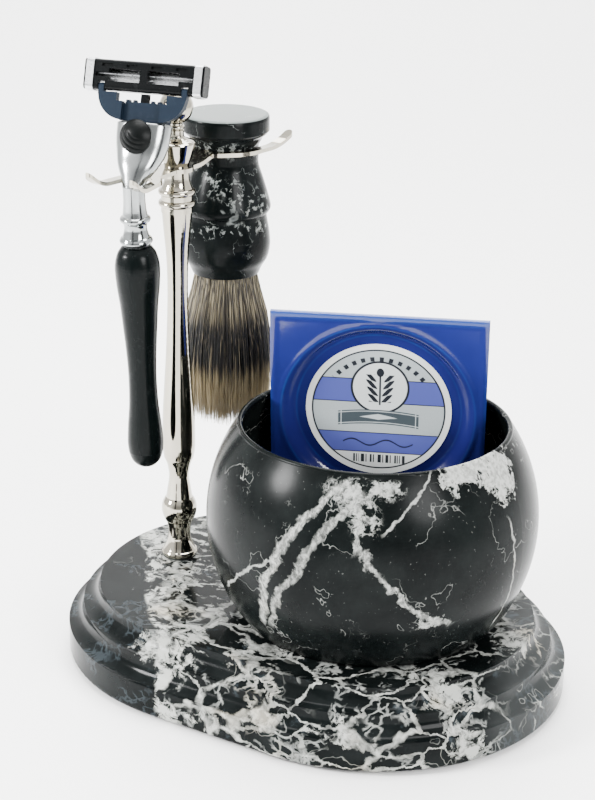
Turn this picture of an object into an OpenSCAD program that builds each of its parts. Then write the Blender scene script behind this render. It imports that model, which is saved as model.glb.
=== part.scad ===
// Stone shaving stand: oval base with a turned metal post, a two-fork hanger, a razor, a brush,
// a loose stone bowl and a soap pack that stands in the bowl.
// The origin is the centre of the underside. +X runs from the post to the bowl, +Y from the razor
// to the brush, +Z up. Millimetres.

/* [Base] */
// Length of the oval base
base_len = 171; // [150:1:215]
// Width of the base, which is also the diameter of its round ends
base_wid = 127; // [105:1:150]
// Height of the base's top face above the table
base_h = 24.2; // [20:0.1:32]
// Thickness of the felt pad under the base
pad_t = 1; // [0.8:0.1:2]
// How far the pad stays inside the foot of the base
pad_inset = 4; // [2:0.5:8]
// Radius of the upper cove of the moulded edge
upper_cove_r = 5.6; // [4:0.1:7]
// Radius of the lower cove of the moulded edge
lower_cove_r = 5.1; // [4:0.1:6.2]
// Height of the straight lip above the upper cove
top_lip_h = 0.8; // [0.5:0.1:2]
// Height of the straight nose between the coves
nose_h = 1.6; // [0.6:0.1:2]
// Radius of the rounded bottom edge
foot_edge_r = 1.4; // [0.8:0.1:2]

/* [Post] */
// Place of the post on the base, along X
post_x = -54; // [-62:0.5:-48]
// Radius of the hidden tie rod
rod_r = 1.5; // [1.2:0.1:1.8]
// Radial gap round the tie rod
rod_gap = 0.15; // [0.1:0.05:0.3]
// Thickness of the felt washer under the post
post_felt_t = 0.6; // [0.4:0.1:1]
// Radius of the bulge at the post's foot
foot_r = 6.2; // [5:0.1:8]
// Height of the turned foot
foot_h = 35.7; // [28:0.1:43]
// Height of the long column
column_h = 85.7; // [70:1:105]
// Largest radius of the column, near its lower end
column_low_r = 5.6; // [5:0.1:7]
// Smallest radius of the column
column_waist_r = 3.4; // [2.9:0.1:4.2]
// Height of the collar with the two rings
collar_h = 13.6; // [11.8:0.1:16.4]
// Outer radius of the rings
ring_r = 6.1; // [5.6:0.1:7.5]
// Height of the urn above the hanger
urn_h = 9.4; // [7.8:0.1:11.3]
// Largest radius of the urn
urn_r = 6.2; // [5:0.1:7.5]
// Height of the finial's neck
finial_neck_h = 4.6; // [3.8:0.1:5.6]
// Radius of the finial ball
ball_r = 5.5; // [4.4:0.1:6.3]

/* [Hanger] */
// Thickness of the hanger plate
plate_t = 1.3; // [1:0.1:1.6]
// Distance from the post to the brush's axis
brush_reach = 28.5; // [27:0.5:33]
// Distance from the post to the razor's axis
razor_reach = 23.5; // [22:0.5:28]
// Width of each prong
prong_w = 3.2; // [2.6:0.1:4]
// Width of the arms between the post and the forks
arm_w = 8; // [6:0.5:10]
// How much higher the brush fork is than the middle of the plate
arm_rise = 1.8; // [0:0.1:3]
// How much the prong tips curl up
tip_rise = 2.6; // [2:0.1:4]
// How far the brush fork's tips lie past the brush's axis
brush_tip_reach = 14.9; // [14:0.5:19]
// How far the razor fork's tips lie past the razor's axis
razor_tip_reach = 10.8; // [10:0.5:15]
// How much each prong splays outward at its tip
tip_splay = 2; // [1:0.1:3]
// Gap between a fork and the neck in it
fork_gap = 0.3; // [0.2:0.05:0.5]

/* [Bowl] */
// Place of the bowl on the base, along X
bowl_x = 21.25; // [12:0.25:24]
// Outer radius of the bowl's round body
bowl_r = 53.1; // [48:0.1:60]
// Height of the bowl above its felt
bowl_h = 64.9; // [60:0.1:72]
// Height of the centre of the round body above the bowl's underside
bowl_centre_h = 33.5; // [30:0.1:38]
// Radius of the hollow
hollow_r = 48.5; // [45:0.1:50]
// Height of the centre of the hollow above the bowl's underside
hollow_centre_h = 39; // [36:0.1:42]
// Thickness of the bowl's floor
bowl_floor_t = 24.6; // [18:0.1:28]
// Radius of the rounded lip
lip_r = 0.9; // [0.7:0.1:1.2]
// Thickness of the felt ring under the bowl
bowl_felt_t = 0.8; // [0.6:0.1:1.5]
// Outer radius of that felt ring
bowl_felt_r = 37; // [33:0.5:39]

/* [Soap pack] */
// Width and height of the square pack
pack_w = 70; // [62:0.5:72]
// Thickness of each plastic shell
shell_t = 0.9; // [0.8:0.1:1.2]
// Radius of the round dish in the front, at the flange
pack_ring_r = 31.5; // [29:0.5:32]
// Radius of the dish's flat floor
pack_face_r = 27; // [25:0.5:28]
// Depth of the dish
pack_front_h = 3.5; // [2:0.1:4.2]
// Depth of the round back behind the flanges
pack_back_h = 10.2; // [9:0.1:10.8]
// Radius of the label
label_r = 23.8; // [20:0.1:25]
// Thickness of the label
label_t = 0.2; // [0.1:0.05:0.3]
// Turn of the pack about the upright axis
pack_yaw = 24.4; // [0:0.1:45]
// Forward lean of the pack
pack_lean = 6.9; // [0:0.1:12]
// Place of the middle of the pack's lower edge, from the bowl's axis
pack_at = [-10, 20.4]; // [-25:0.1:25]

/* [Brush] */
// Radius of the brush's cap
cap_r = 14.5; // [13:0.1:17.4]
// Radius of the brush's neck, which the fork holds
brush_neck_r = 10.8; // [9:0.1:13]
// Radius of the bead round the middle
bead_r = 15.1; // [13.5:0.1:18]
// Radius of the lower bulb
bulb_r = 15; // [13:0.1:18]
// Radius where the hair leaves the handle
knot_r = 10.4; // [9:0.1:12]
// Largest radius of the fanned hair
hair_r = 15.9; // [13:0.1:19]
// Length of the hair below the handle
hair_len = 53.7; // [43:0.1:62]
// Length of the handle below the fork
brush_body_h = 43.9; // [38:0.1:55]
// Height of the cap above the fork
cap_h = 10.3; // [9:0.1:12]

/* [Razor] */
// Lean of the hanging razor, its foot towards the post
razor_lean = 2.9; // [0:0.1:5]
// Turn of the razor in its fork
razor_turn = 12.5; // [0:0.5:20]
// Radius of the chrome neck, which the fork holds
neck_r = 3.5; // [3:0.1:4.2]
// Length of the chrome neck
neck_len = 9.6; // [8:0.1:11.5]
// Length of the ferrule
ferrule_len = 10; // [8.5:0.1:12]
// Outer radius of the ferrule's lower ring
ferrule_r = 5.3; // [4.6:0.1:6]
// Length of the black handle
handle_len = 76.2; // [63:0.1:90]
// Largest radius of the handle
handle_r = 7.2; // [6:0.1:8.6]
// Smallest radius of the handle
handle_waist_r = 4.6; // [4:0.1:5.5]
// Width of the cup that holds the cartridge
cup_w = 17.8; // [16.5:0.1:18.5]
// Depth of the cup
cup_d = 11.6; // [10.6:0.1:12.5]
// Backward tilt of the head
head_tilt = 21; // [15:0.5:25]
// Offset of the cup's mouth from the handle's axis
head_y = 10.9; // [9.5:0.1:12]
// Height of the cup's mouth above the fork
head_z = 14.8; // [13.5:0.1:18]

/* [Cartridge] */
// Length of the blade housing
housing_len = 40.2; // [38:0.1:44]
// Height of the blade housing
housing_h = 9.6; // [9:0.1:11]
// Depth of the blade housing
housing_d = 5.2; // [4.8:0.1:6]
// Radius of the housing's long edges
housing_edge_r = 1.3; // [1.2:0.05:1.6]
// Radius of the pivot pins
pin_r = 0.7; // [0.6:0.05:0.8]
// Radial clearance of the pivot pins
pin_gap = 0.05; // [0.02:0.01:0.1]
// Radius of the release button
button_r = 5.2; // [4.5:0.1:5.8]
// Height of the button's dome
button_h = 2.4; // [1.8:0.1:3]
// Travel of the release button
button_travel = 2.2; // [1.5:0.1:2.6]

/* [Hidden] */
$fn = 96;
cut = 1;
end_r = base_wid / 2;
end_x = base_len / 2 - end_r;
bore_r = rod_r + rod_gap;

// Counterbore for the nut and washer, and the hidden hardware
counterbore_r = 7.5;
counterbore_h = 10;
washer_r = 5;
washer_t = 0.8;
nut_r = 3.2;
nut_t = 2.4;
rod_end = 1.3;

// Heights of the stacked pieces of the post
foot_z = base_h + post_felt_t;
column_z = foot_z + foot_h;
collar_z = column_z + column_h;
plate_z = collar_z + collar_h + plate_t;
urn_z = plate_z;
finial_z = urn_z + urn_h;
ball_z = finial_z + finial_neck_h;
spigot_len = 2.6;
ball_seat = 0.2;

// Forks of the hanger
brush_fork_r = brush_neck_r + fork_gap;
razor_fork_r = neck_r + 4 * fork_gap;
fork_shift = 2;
arm_start = 7;
curl_start = 4.5;
curl_steps = 9;
arm_steps = 6;

// Heights in the bowl
bowl_z = base_h + bowl_felt_t;
floor_z = bowl_z + bowl_floor_t;
rim_z = bowl_z + bowl_h;
lip_z = bowl_h - lip_r;
rim_outer = sqrt(pow(bowl_r, 2) - pow(lip_z - bowl_centre_h, 2));
felt_hole_r = bowl_felt_r - 12;

// Soap pack
flange_gap = 0.4;
puck_gap = 0.4;

// Brush
socket_h = 8.1;
socket_gap = 0.1;

// Razor, from the fork down; it rests a little above the plate
razor_up = 0.6;
ferrule_z = -2.2 - neck_len;
handle_z = ferrule_z - ferrule_len;
stud_r = 1.5;
stud_up = 6;
stud_down = 18;

// Head of the razor, in its tilted frame: x across, y deep, z along the cup
cavity_w = 9.4;
cavity_d = 4.8;
cavity_h = 11;
slide_gap = 0.2;
button_at = -4.5;
button_seat = 0.05;
stem_w = 2.8;
stem_z = -7.5;
stem_h = 2.3;
plunger_z = -8;
plunger_h = 3;
dome_r = (pow(button_r, 2) + pow(button_h, 2)) / (2 * button_h);
rim_t = 0.8;
spring_r = 1.5;
wire_r = 0.3;
spring_turns = 3;
yoke_w = 14.8;
yoke_h = 6.2;
yoke_back = -3.5;
yoke_front = 3;
yoke_stem_h = 2.6;
housing_y = -2.5;
housing_z = 9.2;
pivot_y = housing_y - housing_d / 2 + housing_edge_r;
pivot_z = housing_z + housing_edge_r;
wing_r = 8.4;
wing_top = housing_z - 0.4;
wing_back = -5;
wing_front = -2.6;
wing_gap_x = 8.4;
ear_x = housing_len / 2 - 7;
ear_w = 1.8;
ear_r = 1.05;
ear_gap = 0.3;
pin_len = 2.1;
tongue_w = 2.6;
pocket_w = housing_len - 6.2;
pocket_h = 5.6;
pocket_d = 3.1;
window_w = 10.5;
window_h = 3.9;
rib_w = 2.6;
blade_count = 3;
blade_w = 1.5;
blade_t = 0.25;
blade_tilt = 72;
blade_pitch = 1.4;
clip_w = 2.5;
clip_t = 0.35;
clip_inset = 0.7;
strip_w = housing_len - 7;
slot_count = 4;
slot_w = 3.6;
fin_count = 4;

// Point on a smooth curve through b and c, with a and d beside them
function knot_point(a, b, c, d, t) =
    0.5 * (2 * b + (c - a) * t + (2 * a - 5 * b + 4 * c - d) * t * t
    + (3 * b - a - 3 * c + d) * t * t * t);

// Smooth curve through all the points of p, with n steps between neighbours
function smooth(p, n = 5) = [
    for (i = [0 : len(p) - 2])
        for (k = [0 : n - 1])
            knot_point(p[max(i - 1, 0)], p[i], p[i + 1], p[min(i + 2, len(p) - 1)], k / n),
    p[len(p) - 1]
];

// Soft step from 0 at a to 1 at b
function soft_step(a, b, x) =
    let (t = min(max((x - a) / (b - a), 0), 1))
    t * t * (3 - 2 * t);

// Solid of revolution whose outline is a list of [radius, height] points
module turned(outline) {
    first = outline[0];
    last = outline[len(outline) - 1];
    rotate_extrude()
        polygon(concat([[0, first[1]]], outline, [[0, last[1]]]));
}

module at_post(z = 0) {
    translate([post_x, 0, z])
        children();
}

module rod_hole(z0, z1) {
    translate([0, 0, z0])
        cylinder(r = bore_r, h = z1 - z0);
}

// Half section of the base's moulded edge, from the middle outward
module base_section() {
    ridge_x = end_r - lower_cove_r;
    upper_z = base_h - top_lip_h;
    lower_z = upper_z - upper_cove_r - nose_h;
    difference() {
        translate([0, pad_t])
            square([end_r, base_h - pad_t]);
        translate([ridge_x, lower_z])
            square([lower_cove_r + cut, base_h]);
        translate([ridge_x - upper_cove_r, upper_z])
            square([upper_cove_r + cut, base_h]);
        translate([ridge_x, upper_z])
            circle(r = upper_cove_r);
        translate([end_r, lower_z])
            circle(r = lower_cove_r);
        difference() {
            translate([end_r - foot_edge_r, pad_t - cut])
                square([foot_edge_r + cut, foot_edge_r + cut]);
            translate([end_r - foot_edge_r, pad_t + foot_edge_r])
                circle(r = foot_edge_r);
        }
    }
}

// Stretch a half section into an oval: two half turns and a straight middle
module oval() {
    for (s = [-1, 1])
        translate([s * end_x, 0, 0])
            rotate([0, 0, -90 * s])
                rotate_extrude(angle = 180)
                    children();
    rotate([90, 0, 90])
        translate([0, 0, -end_x])
            linear_extrude(2 * end_x)
                for (m = [0, 1])
                    mirror([m, 0])
                        children();
}

module base_slab() {
    color([0.16, 0.17, 0.17])
        difference() {
            oval()
                base_section();
            at_post()
                rod_hole(0, base_h + cut);
            at_post(pad_t - cut)
                cylinder(r = counterbore_r, h = counterbore_h - pad_t + cut);
        }
}

module base_pad() {
    pad_r = end_r - pad_inset;
    color([0.1, 0.12, 0.1])
        union() {
            for (s = [-1, 1])
                translate([s * end_x, 0, 0])
                    cylinder(r = pad_r, h = pad_t);
            translate([-end_x, -pad_r, 0])
                cube([2 * end_x, 2 * pad_r, pad_t]);
        }
}

module post_felt() {
    color([0.1, 0.1, 0.1])
        at_post(base_h)
            difference() {
                cylinder(r = foot_r - 0.6, h = post_felt_t);
                rod_hole(-cut, post_felt_t + cut);
            }
}

module post_foot() {
    bulge_r = foot_r - 0.2;
    k = foot_h / 35.7;
    bulge = smooth([
        [foot_r - 0.5, 0], [foot_r, 0.9 * k], [foot_r - 0.4, 1.8 * k]
    ]);
    waist = smooth([
        [foot_r - 0.7, 2 * k], [4.7, 3.6 * k], [4, 5.8 * k], [3.8, 8.2 * k], [4, 10.6 * k], [4.5, 12.4 * k]
    ]);
    bulb = smooth([
        [4.9, 12.9 * k], [5.7, 15 * k], [bulge_r, 17.2 * k], [5.7, 19.2 * k], [4.9, 20.8 * k]
    ]);
    cone = smooth([
        [4.5, 21.3 * k], [4, 24.4 * k], [3.4, 28.9 * k], [3.9, 32.8 * k], [4.6, 35 * k], [4.7, foot_h]
    ]);
    color([0.86, 0.83, 0.76])
        at_post(foot_z)
            difference() {
                turned(concat(bulge, waist, bulb, cone));
                rod_hole(-cut, foot_h + cut);
            }
}

module post_column() {
    swell = column_low_r - column_waist_r;
    outline = smooth([
        for (p = [
            [0, 0.73], [0.03, 0.92], [0.07, 1], [0.18, 0.91], [0.31, 0.62], [0.44, 0.32],
            [0.56, 0.12], [0.69, 0], [0.81, 0.1], [0.93, 0.5], [1, 0.73]
        ])
            [column_waist_r + swell * p[1], column_h * p[0]]
    ]);
    color([0.86, 0.83, 0.76])
        at_post(column_z)
            difference() {
                turned(outline);
                rod_hole(-cut, column_h + cut);
            }
}

// One rounded ring of the collar, centred on height z
module collar_ring(z, bead) {
    rotate_extrude()
        union() {
            translate([0, z - bead])
                square([ring_r - bead, 2 * bead]);
            translate([ring_r - bead, z])
                circle(r = bead);
        }
}

module ring_collar() {
    bead = 1.15;
    low_z = 2.9;
    high_z = 6.7;
    barrel_z = high_z + bead;
    core = ring_r - 0.9;
    barrel = smooth([
        [core, barrel_z], [core - 0.6, barrel_z + 1.3], [core - 1, barrel_z + 3], [core - 1.1, collar_h]
    ]);
    color([0.86, 0.83, 0.76])
        at_post(collar_z)
            difference() {
                union() {
                    turned(concat([[ring_r - 0.9, 0]], [[core, barrel_z]], barrel));
                    collar_ring(low_z, bead);
                    collar_ring(high_z, bead);
                }
                rod_hole(-cut, collar_h + cut);
            }
}

// Height of the plate's top above its middle, at the distance y from the post
function plate_rise(y) =
    let (
        brush_curl = brush_reach + curl_start,
        razor_curl = razor_reach + curl_start,
        brush_tip = max(0, (y - brush_curl) / (brush_tip_reach - curl_start)),
        razor_tip = max(0, (-y - razor_curl) / (razor_tip_reach - curl_start))
    )
    arm_rise * soft_step(arm_start, brush_reach - brush_fork_r, y)
    + tip_rise * (pow(brush_tip, 2) + pow(razor_tip, 2));

// Side view of the bent strip, as [y, z] points
function strip_outline() =
    let (
        part = [for (i = [0 : curl_steps]) i / curl_steps],
        razor_span = razor_tip_reach + prong_w - curl_start,
        brush_span = brush_tip_reach + prong_w - curl_start,
        razor_end = [for (i = [curl_steps : -1 : 0]) -razor_reach - curl_start - razor_span * part[i]],
        arm_end = [for (i = [0 : arm_steps])
            arm_start + (brush_reach - brush_fork_r - arm_start) * i / arm_steps],
        brush_end = [for (c = part) brush_reach + curl_start + brush_span * c],
        ys = concat(razor_end, arm_end, brush_end)
    )
    concat(
        [for (y = ys) [y, plate_rise(y)]],
        [for (i = [len(ys) - 1 : -1 : 0]) [ys[i], plate_rise(ys[i]) - plate_t]]
    );

// Plan of one fork that opens towards +Y
module fork_plan(gap_r, reach, tip, arm, shift = 0) {
    mid_r = gap_r + prong_w / 2;
    dx = tip_splay;
    dy = tip + shift;
    len = sqrt(dx * dx + dy * dy);
    turn = atan2(dx, dy);
    translate([0, reach - shift]) {
        difference() {
            circle(r = gap_r + prong_w);
            circle(r = gap_r);
            translate([-gap_r - 2 * prong_w, 0])
                square([2 * gap_r + 4 * prong_w, gap_r + 2 * prong_w]);
        }
        for (s = [-1, 1])
            translate([s * mid_r, 0]) {
                circle(r = prong_w / 2);
                rotate(-s * turn) {
                    translate([-prong_w / 2, 0])
                        square([prong_w, len]);
                    translate([0, len])
                        circle(r = prong_w / 2);
                }
            }
    }
    translate([-arm / 2, 0])
        square([arm, reach - shift - mid_r]);
}

module hanger_bracket() {
    reach = brush_reach + 2 * brush_tip_reach;
    color([0.9, 0.88, 0.83])
        at_post(plate_z)
            difference() {
                intersection() {
                    rotate([90, 0, 90])
                        translate([0, 0, -reach / 2])
                            linear_extrude(reach)
                                polygon(strip_outline());
                    translate([0, 0, -2 * plate_t])
                        linear_extrude(4 * plate_t + arm_rise + 2 * tip_rise) {
                            circle(r = ring_r - 0.6);
                            fork_plan(brush_fork_r, brush_reach, brush_tip_reach, arm_w);
                            mirror([0, 1])
                                fork_plan(
                                    razor_fork_r, razor_reach, razor_tip_reach,
                                    arm_w - 1.5, fork_shift
                                );
                        }
                }
                rod_hole(-3 * plate_t, plate_t);
            }
}

module urn() {
    k = urn_h / 9.4;
    body = smooth([
        [4, 0], [4.1, 0.8 * k], [4.7, 2.4 * k], [5.4, 4.9 * k], [urn_r, 7.6 * k]
    ]);
    shoulder = smooth([
        [urn_r - 0.1, 8 * k], [urn_r - 0.9, 8.5 * k], [3.9, 8.9 * k], [3.1, urn_h]
    ]);
    color([0.86, 0.83, 0.76])
        at_post(urn_z)
            difference() {
                turned(concat(body, shoulder));
                rod_hole(-cut, urn_h + cut);
            }
}

module finial_neck() {
    k = finial_neck_h / 4.6;
    bead_z = 3.4 * k;
    stem = smooth([
        [2.9, 0], [2.5, 0.5 * k], [2.4, 1.4 * k], [2.4, 2.4 * k]
    ]);
    color([0.86, 0.83, 0.76])
        at_post(finial_z)
            union() {
                turned(concat(stem, [[2.1, 2.6 * k], [2.1, finial_neck_h]]));
                rotate_extrude()
                    translate([1.8, bead_z])
                        circle(r = 0.8);
                translate([0, 0, -spigot_len])
                    cylinder(r = rod_r, h = spigot_len);
                translate([0, 0, finial_neck_h])
                    cylinder(r = rod_r, h = spigot_len);
            }
}

module finial_ball() {
    color([0.86, 0.83, 0.76])
        at_post(ball_z)
            difference() {
                translate([0, 0, ball_r - ball_seat])
                    sphere(r = ball_r);
                translate([0, 0, -ball_r])
                    cylinder(r = 2 * ball_r, h = ball_r);
                rod_hole(-cut, spigot_len + rod_gap);
            }
}

module tie_rod() {
    bottom = counterbore_h - washer_t - nut_t - rod_end;
    top = finial_z - spigot_len - 1;
    color([0.6, 0.6, 0.6])
        at_post(bottom)
            cylinder(r = rod_r, h = top - bottom);
}

module rod_washer() {
    color([0.6, 0.6, 0.6])
        at_post(counterbore_h - washer_t)
            difference() {
                cylinder(r = washer_r, h = washer_t);
                rod_hole(-cut, washer_t + cut);
            }
}

module rod_nut() {
    color([0.6, 0.6, 0.6])
        at_post(counterbore_h - washer_t - nut_t)
            difference() {
                cylinder(r = nut_r, h = nut_t, $fn = 6);
                rod_hole(-cut, nut_t + cut);
            }
}

// Half section of the bowl, with its hollow and rounded lip
module bowl_section() {
    difference() {
        intersection() {
            translate([0, bowl_centre_h])
                circle(r = bowl_r);
            square([bowl_r, lip_z]);
        }
        intersection() {
            translate([0, hollow_centre_h])
                circle(r = hollow_r);
            translate([0, bowl_floor_t])
                square([bowl_r, bowl_h]);
        }
        translate([0, bowl_floor_t + bowl_h / 3])
            square([rim_outer - 2 * lip_r, bowl_h]);
    }
    translate([rim_outer - lip_r, lip_z])
        circle(r = lip_r);
}

module bowl() {
    color([0.14, 0.15, 0.16])
        translate([bowl_x, 0, bowl_z])
            rotate_extrude()
                bowl_section();
}

module bowl_felt() {
    color([0.1, 0.12, 0.1])
        translate([bowl_x, 0, base_h])
            difference() {
                cylinder(r = bowl_felt_r, h = bowl_felt_t);
                translate([0, 0, -cut])
                    cylinder(r = felt_hole_r, h = bowl_felt_t + 2 * cut);
            }
}

// Frame of the soap pack: x across, y away from the label, z up along the pack
module in_pack() {
    translate([bowl_x + pack_at[0], pack_at[1], floor_z + flange_gap])
        rotate([0, 0, pack_yaw])
            rotate([pack_lean, 0, 0])
                translate([0, 0, pack_w / 2])
                    children();
}

// Flat round plug along the pack's depth, from y0 to y1
module pack_disc(y0, r0, y1, r1) {
    translate([0, y0, 0])
        rotate([-90, 0, 0])
            cylinder(r1 = r0, r2 = r1, h = y1 - y0);
}

module soap_tray() {
    lip = pack_ring_r + shell_t;
    color([0.12, 0.2, 0.62])
        in_pack()
            difference() {
                union() {
                    translate([-pack_w / 2, 0, -pack_w / 2])
                        cube([pack_w, shell_t, pack_w]);
                    pack_disc(0, lip, pack_front_h + shell_t, pack_face_r + shell_t / 2);
                }
                pack_disc(-0.01, pack_ring_r, pack_front_h, pack_face_r);
            }
}

module soap_back() {
    lip = pack_ring_r + 2 * shell_t;
    back_y = 2 * shell_t + pack_back_h;
    color([0.1, 0.17, 0.55])
        in_pack()
            difference() {
                union() {
                    translate([-pack_w / 2, shell_t, -pack_w / 2])
                        cube([pack_w, shell_t, pack_w]);
                    pack_disc(2 * shell_t, lip, back_y, pack_face_r);
                }
                pack_disc(shell_t - 0.01, lip - shell_t + puck_gap, back_y - shell_t, pack_face_r - shell_t);
            }
}

module soap_puck() {
    front_y = pack_front_h + shell_t + puck_gap;
    back_y = shell_t + pack_back_h - puck_gap;
    color([0.2, 0.3, 0.72])
        in_pack()
            pack_disc(front_y, pack_face_r - 2 * shell_t, back_y, pack_face_r - 2 * shell_t);
}

module soap_label() {
    color([0.85, 0.87, 0.88])
        in_pack()
            pack_disc(pack_front_h - label_t, label_r, pack_front_h, label_r);
}

// Frame of the brush: its axis, with height 0 at the top of the brush fork
module at_brush() {
    translate([post_x, brush_reach, plate_z + arm_rise])
        children();
}

module brush_handle() {
    neck_low = -5.5;
    k = brush_body_h / 46;
    cap_low = 4.9;
    cap = smooth([
        [brush_neck_r + 0.2, 0.2], [brush_neck_r + 0.9, 1.4], [cap_r - 2, 2.9],
        [cap_r - 0.8, 3.9], [cap_r, cap_low]
    ]);
    rim = smooth([
        [cap_r, cap_h - 1.4], [cap_r - 0.3, cap_h - 0.4], [cap_r - 1.2, cap_h]
    ]);
    body = smooth([
        [brush_neck_r, neck_low], [brush_neck_r + 0.4, neck_low - 2.2 * k],
        [brush_neck_r + 1.5, neck_low - 5.6 * k], [brush_neck_r + 2.7, neck_low - 9.6 * k],
        [bead_r - 0.5, neck_low - 13.6 * k]
    ]);
    bead = smooth([
        [bead_r - 0.4, neck_low - 14 * k], [bead_r, neck_low - 16.2 * k],
        [bead_r - 0.6, neck_low - 17.8 * k], [bulb_r - 1.3, neck_low - 18.6 * k]
    ]);
    bulb = smooth([
        [bulb_r - 1.2, neck_low - 19.9 * k], [bulb_r - 0.9, neck_low - 21.8 * k],
        [bulb_r - 0.3, neck_low - 25.5 * k], [bulb_r, neck_low - 30 * k],
        [bulb_r - 0.8, neck_low - 34.4 * k], [bulb_r - 2.6, neck_low - 37.6 * k],
        [knot_r + 0.9, -brush_body_h]
    ]);
    low_to_high = [for (p = [bulb, bead, body]) for (i = [len(p) - 1 : -1 : 0]) p[i]];
    color([0.1, 0.11, 0.12])
        at_brush()
            difference() {
                turned(concat(low_to_high, cap, rim));
                translate([0, 0, -brush_body_h - cut])
                    cylinder(r = knot_r + socket_gap, h = socket_h + cut);
            }
}

module knot_plug() {
    color([0.2, 0.15, 0.1])
        at_brush()
            translate([0, 0, -brush_body_h])
                cylinder(r = knot_r, h = socket_h);
}

module hair_knot() {
    hair = smooth([
        for (p = [
            [0, 0], [0.13, 0.27], [0.3, 0.65], [0.47, 0.86],
            [0.64, 1], [0.81, 0.95], [0.91, 0.62], [0.97, 0.1]
        ])
            [knot_r + (hair_r - knot_r) * p[1], -hair_len * p[0]]
    ]);
    tip = smooth([
        [knot_r + 0.1 * (hair_r - knot_r), -0.97 * hair_len], [0.5 * knot_r, -0.995 * hair_len],
        [0.05, -hair_len]
    ]);
    outline = concat(hair, [for (i = [1 : len(tip) - 1]) tip[i]]);
    color([0.6, 0.52, 0.38])
        at_brush()
            translate([0, 0, -brush_body_h])
                turned([for (i = [len(outline) - 1 : -1 : 0]) outline[i]]);
}

// Frame of the razor: height 0 at the top of its fork, handle below, head above
module at_razor() {
    translate([post_x, -razor_reach, plate_z + razor_up])
        rotate([razor_lean, 0, 0])
            rotate([0, 0, razor_turn])
                children();
}

// Tilted frame of the head, at the mouth of the cup
module in_head() {
    at_razor()
        translate([0, head_y, head_z])
            rotate([-head_tilt, 0, 0])
                children();
}

module stud_hole() {
    translate([0, 0, ferrule_z - stud_down])
        cylinder(r = stud_r + rod_gap, h = stud_down + stud_up);
}

module razor_handle() {
    k = handle_len / 75.2;
    swell = handle_r - handle_waist_r;
    outline = smooth([
        for (p = [
            [0, 0.04], [0.9, 0.3], [2.6, 0.68], [6.6, 1], [12.6, 0.9], [19.7, 0.58], [27.5, 0.34],
            [35.3, 0.12], [43.1, 0], [51.1, 0.04], [56.4, 0.19], [60.4, 0.35], [66, 0.49], [69.5, 0.42]
        ])
            [handle_waist_r + swell * p[1], handle_z - p[0] * k]
    ]);
    foot = smooth([
        [handle_waist_r + 0.42 * swell, handle_z - 69.5 * k], [4.7, handle_z - 72.6 * k],
        [2.8, handle_z - 74.6 * k], [0.4, handle_z - handle_len]
    ]);
    down = concat(outline, [for (i = [1 : len(foot) - 1]) foot[i]]);
    color([0.05, 0.06, 0.07])
        at_razor()
            difference() {
                turned([for (i = [len(down) - 1 : -1 : 0]) down[i]]);
                stud_hole();
            }
}

module razor_ferrule() {
    k = ferrule_len / 10;
    low_ring = smooth([
        [ferrule_r - 1, 0], [ferrule_r - 0.6, 0.8 * k], [ferrule_r, 1.9 * k], [ferrule_r - 0.5, 3 * k]
    ]);
    waist = smooth([
        [ferrule_r - 1, 3.3 * k], [3.8, 4.9 * k], [3.6, 6.2 * k], [3.8, 7.4 * k], [4.4, 8.3 * k]
    ]);
    top_ring = smooth([
        [4.7, 8.4 * k], [4.9, 9 * k], [4.7, 9.6 * k], [4.2, ferrule_len]
    ]);
    color([0.75, 0.77, 0.79])
        at_razor()
            difference() {
                translate([0, 0, handle_z])
                    turned(concat(low_ring, waist, top_ring));
                stud_hole();
            }
}

module razor_neck() {
    k = neck_len / 9.6;
    outline = smooth([
        [neck_r + 0.5, ferrule_z], [neck_r + 0.2, ferrule_z + 2.2 * k], [neck_r, ferrule_z + 5.2 * k],
        [neck_r, ferrule_z + neck_len]
    ]);
    color([0.75, 0.77, 0.79])
        at_razor()
            difference() {
                turned(outline);
                stud_hole();
            }
}

module razor_stud() {
    color([0.6, 0.6, 0.6])
        at_razor()
            translate([0, 0, ferrule_z - stud_down + rod_gap])
                cylinder(r = stud_r, h = stud_down + stud_up - 2 * rod_gap);
}

// Slices of the cup under its mouth: place along the bend, half width, half depth and tilt
cup_rows = [
    [0, ferrule_z + neck_len, neck_r, neck_r, 0],
    [0.15 * head_y, -0.2, neck_r + 0.7, neck_r + 0.6, 0.4 * head_tilt],
    [0.385 * head_y, 0.2 * head_z, 0.35 * cup_w, 0.43 * cup_d, 0.7 * head_tilt],
    [0.61 * head_y, 0.39 * head_z, 0.425 * cup_w, 0.465 * cup_d, head_tilt],
    [0.79 * head_y, 0.67 * head_z, 0.485 * cup_w, 0.49 * cup_d, head_tilt]
];

// How far a slice's front edge is from the mouth's middle, in the head's frame: out and down
function row_front(s) =
    let (y = s[0] - s[3] * cos(s[4]) - head_y, z = s[1] + s[3] * sin(s[4]) - head_z)
    [-y * cos(head_tilt) + z * sin(head_tilt), -y * sin(head_tilt) - z * cos(head_tilt)];

// The button's back stays clear of the cup's sloping front over its whole travel
cup_slope = max([for (s = cup_rows) (row_front(s)[0] - cup_d / 2) / row_front(s)[1]]);
button_back = cup_d / 2 + max(0, cup_slope) * (button_r + button_travel - button_at) + button_seat;

// One thin slice of the cup
module cup_slice(y, z, half_w, half_d, tilt) {
    translate([0, y, z])
        rotate([-tilt, 0, 0])
            for (s = [-1, 1])
                translate([s * (half_w - half_d), 0, 0])
                    cylinder(r = half_d, h = 0.2, $fn = 48);
}

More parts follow.
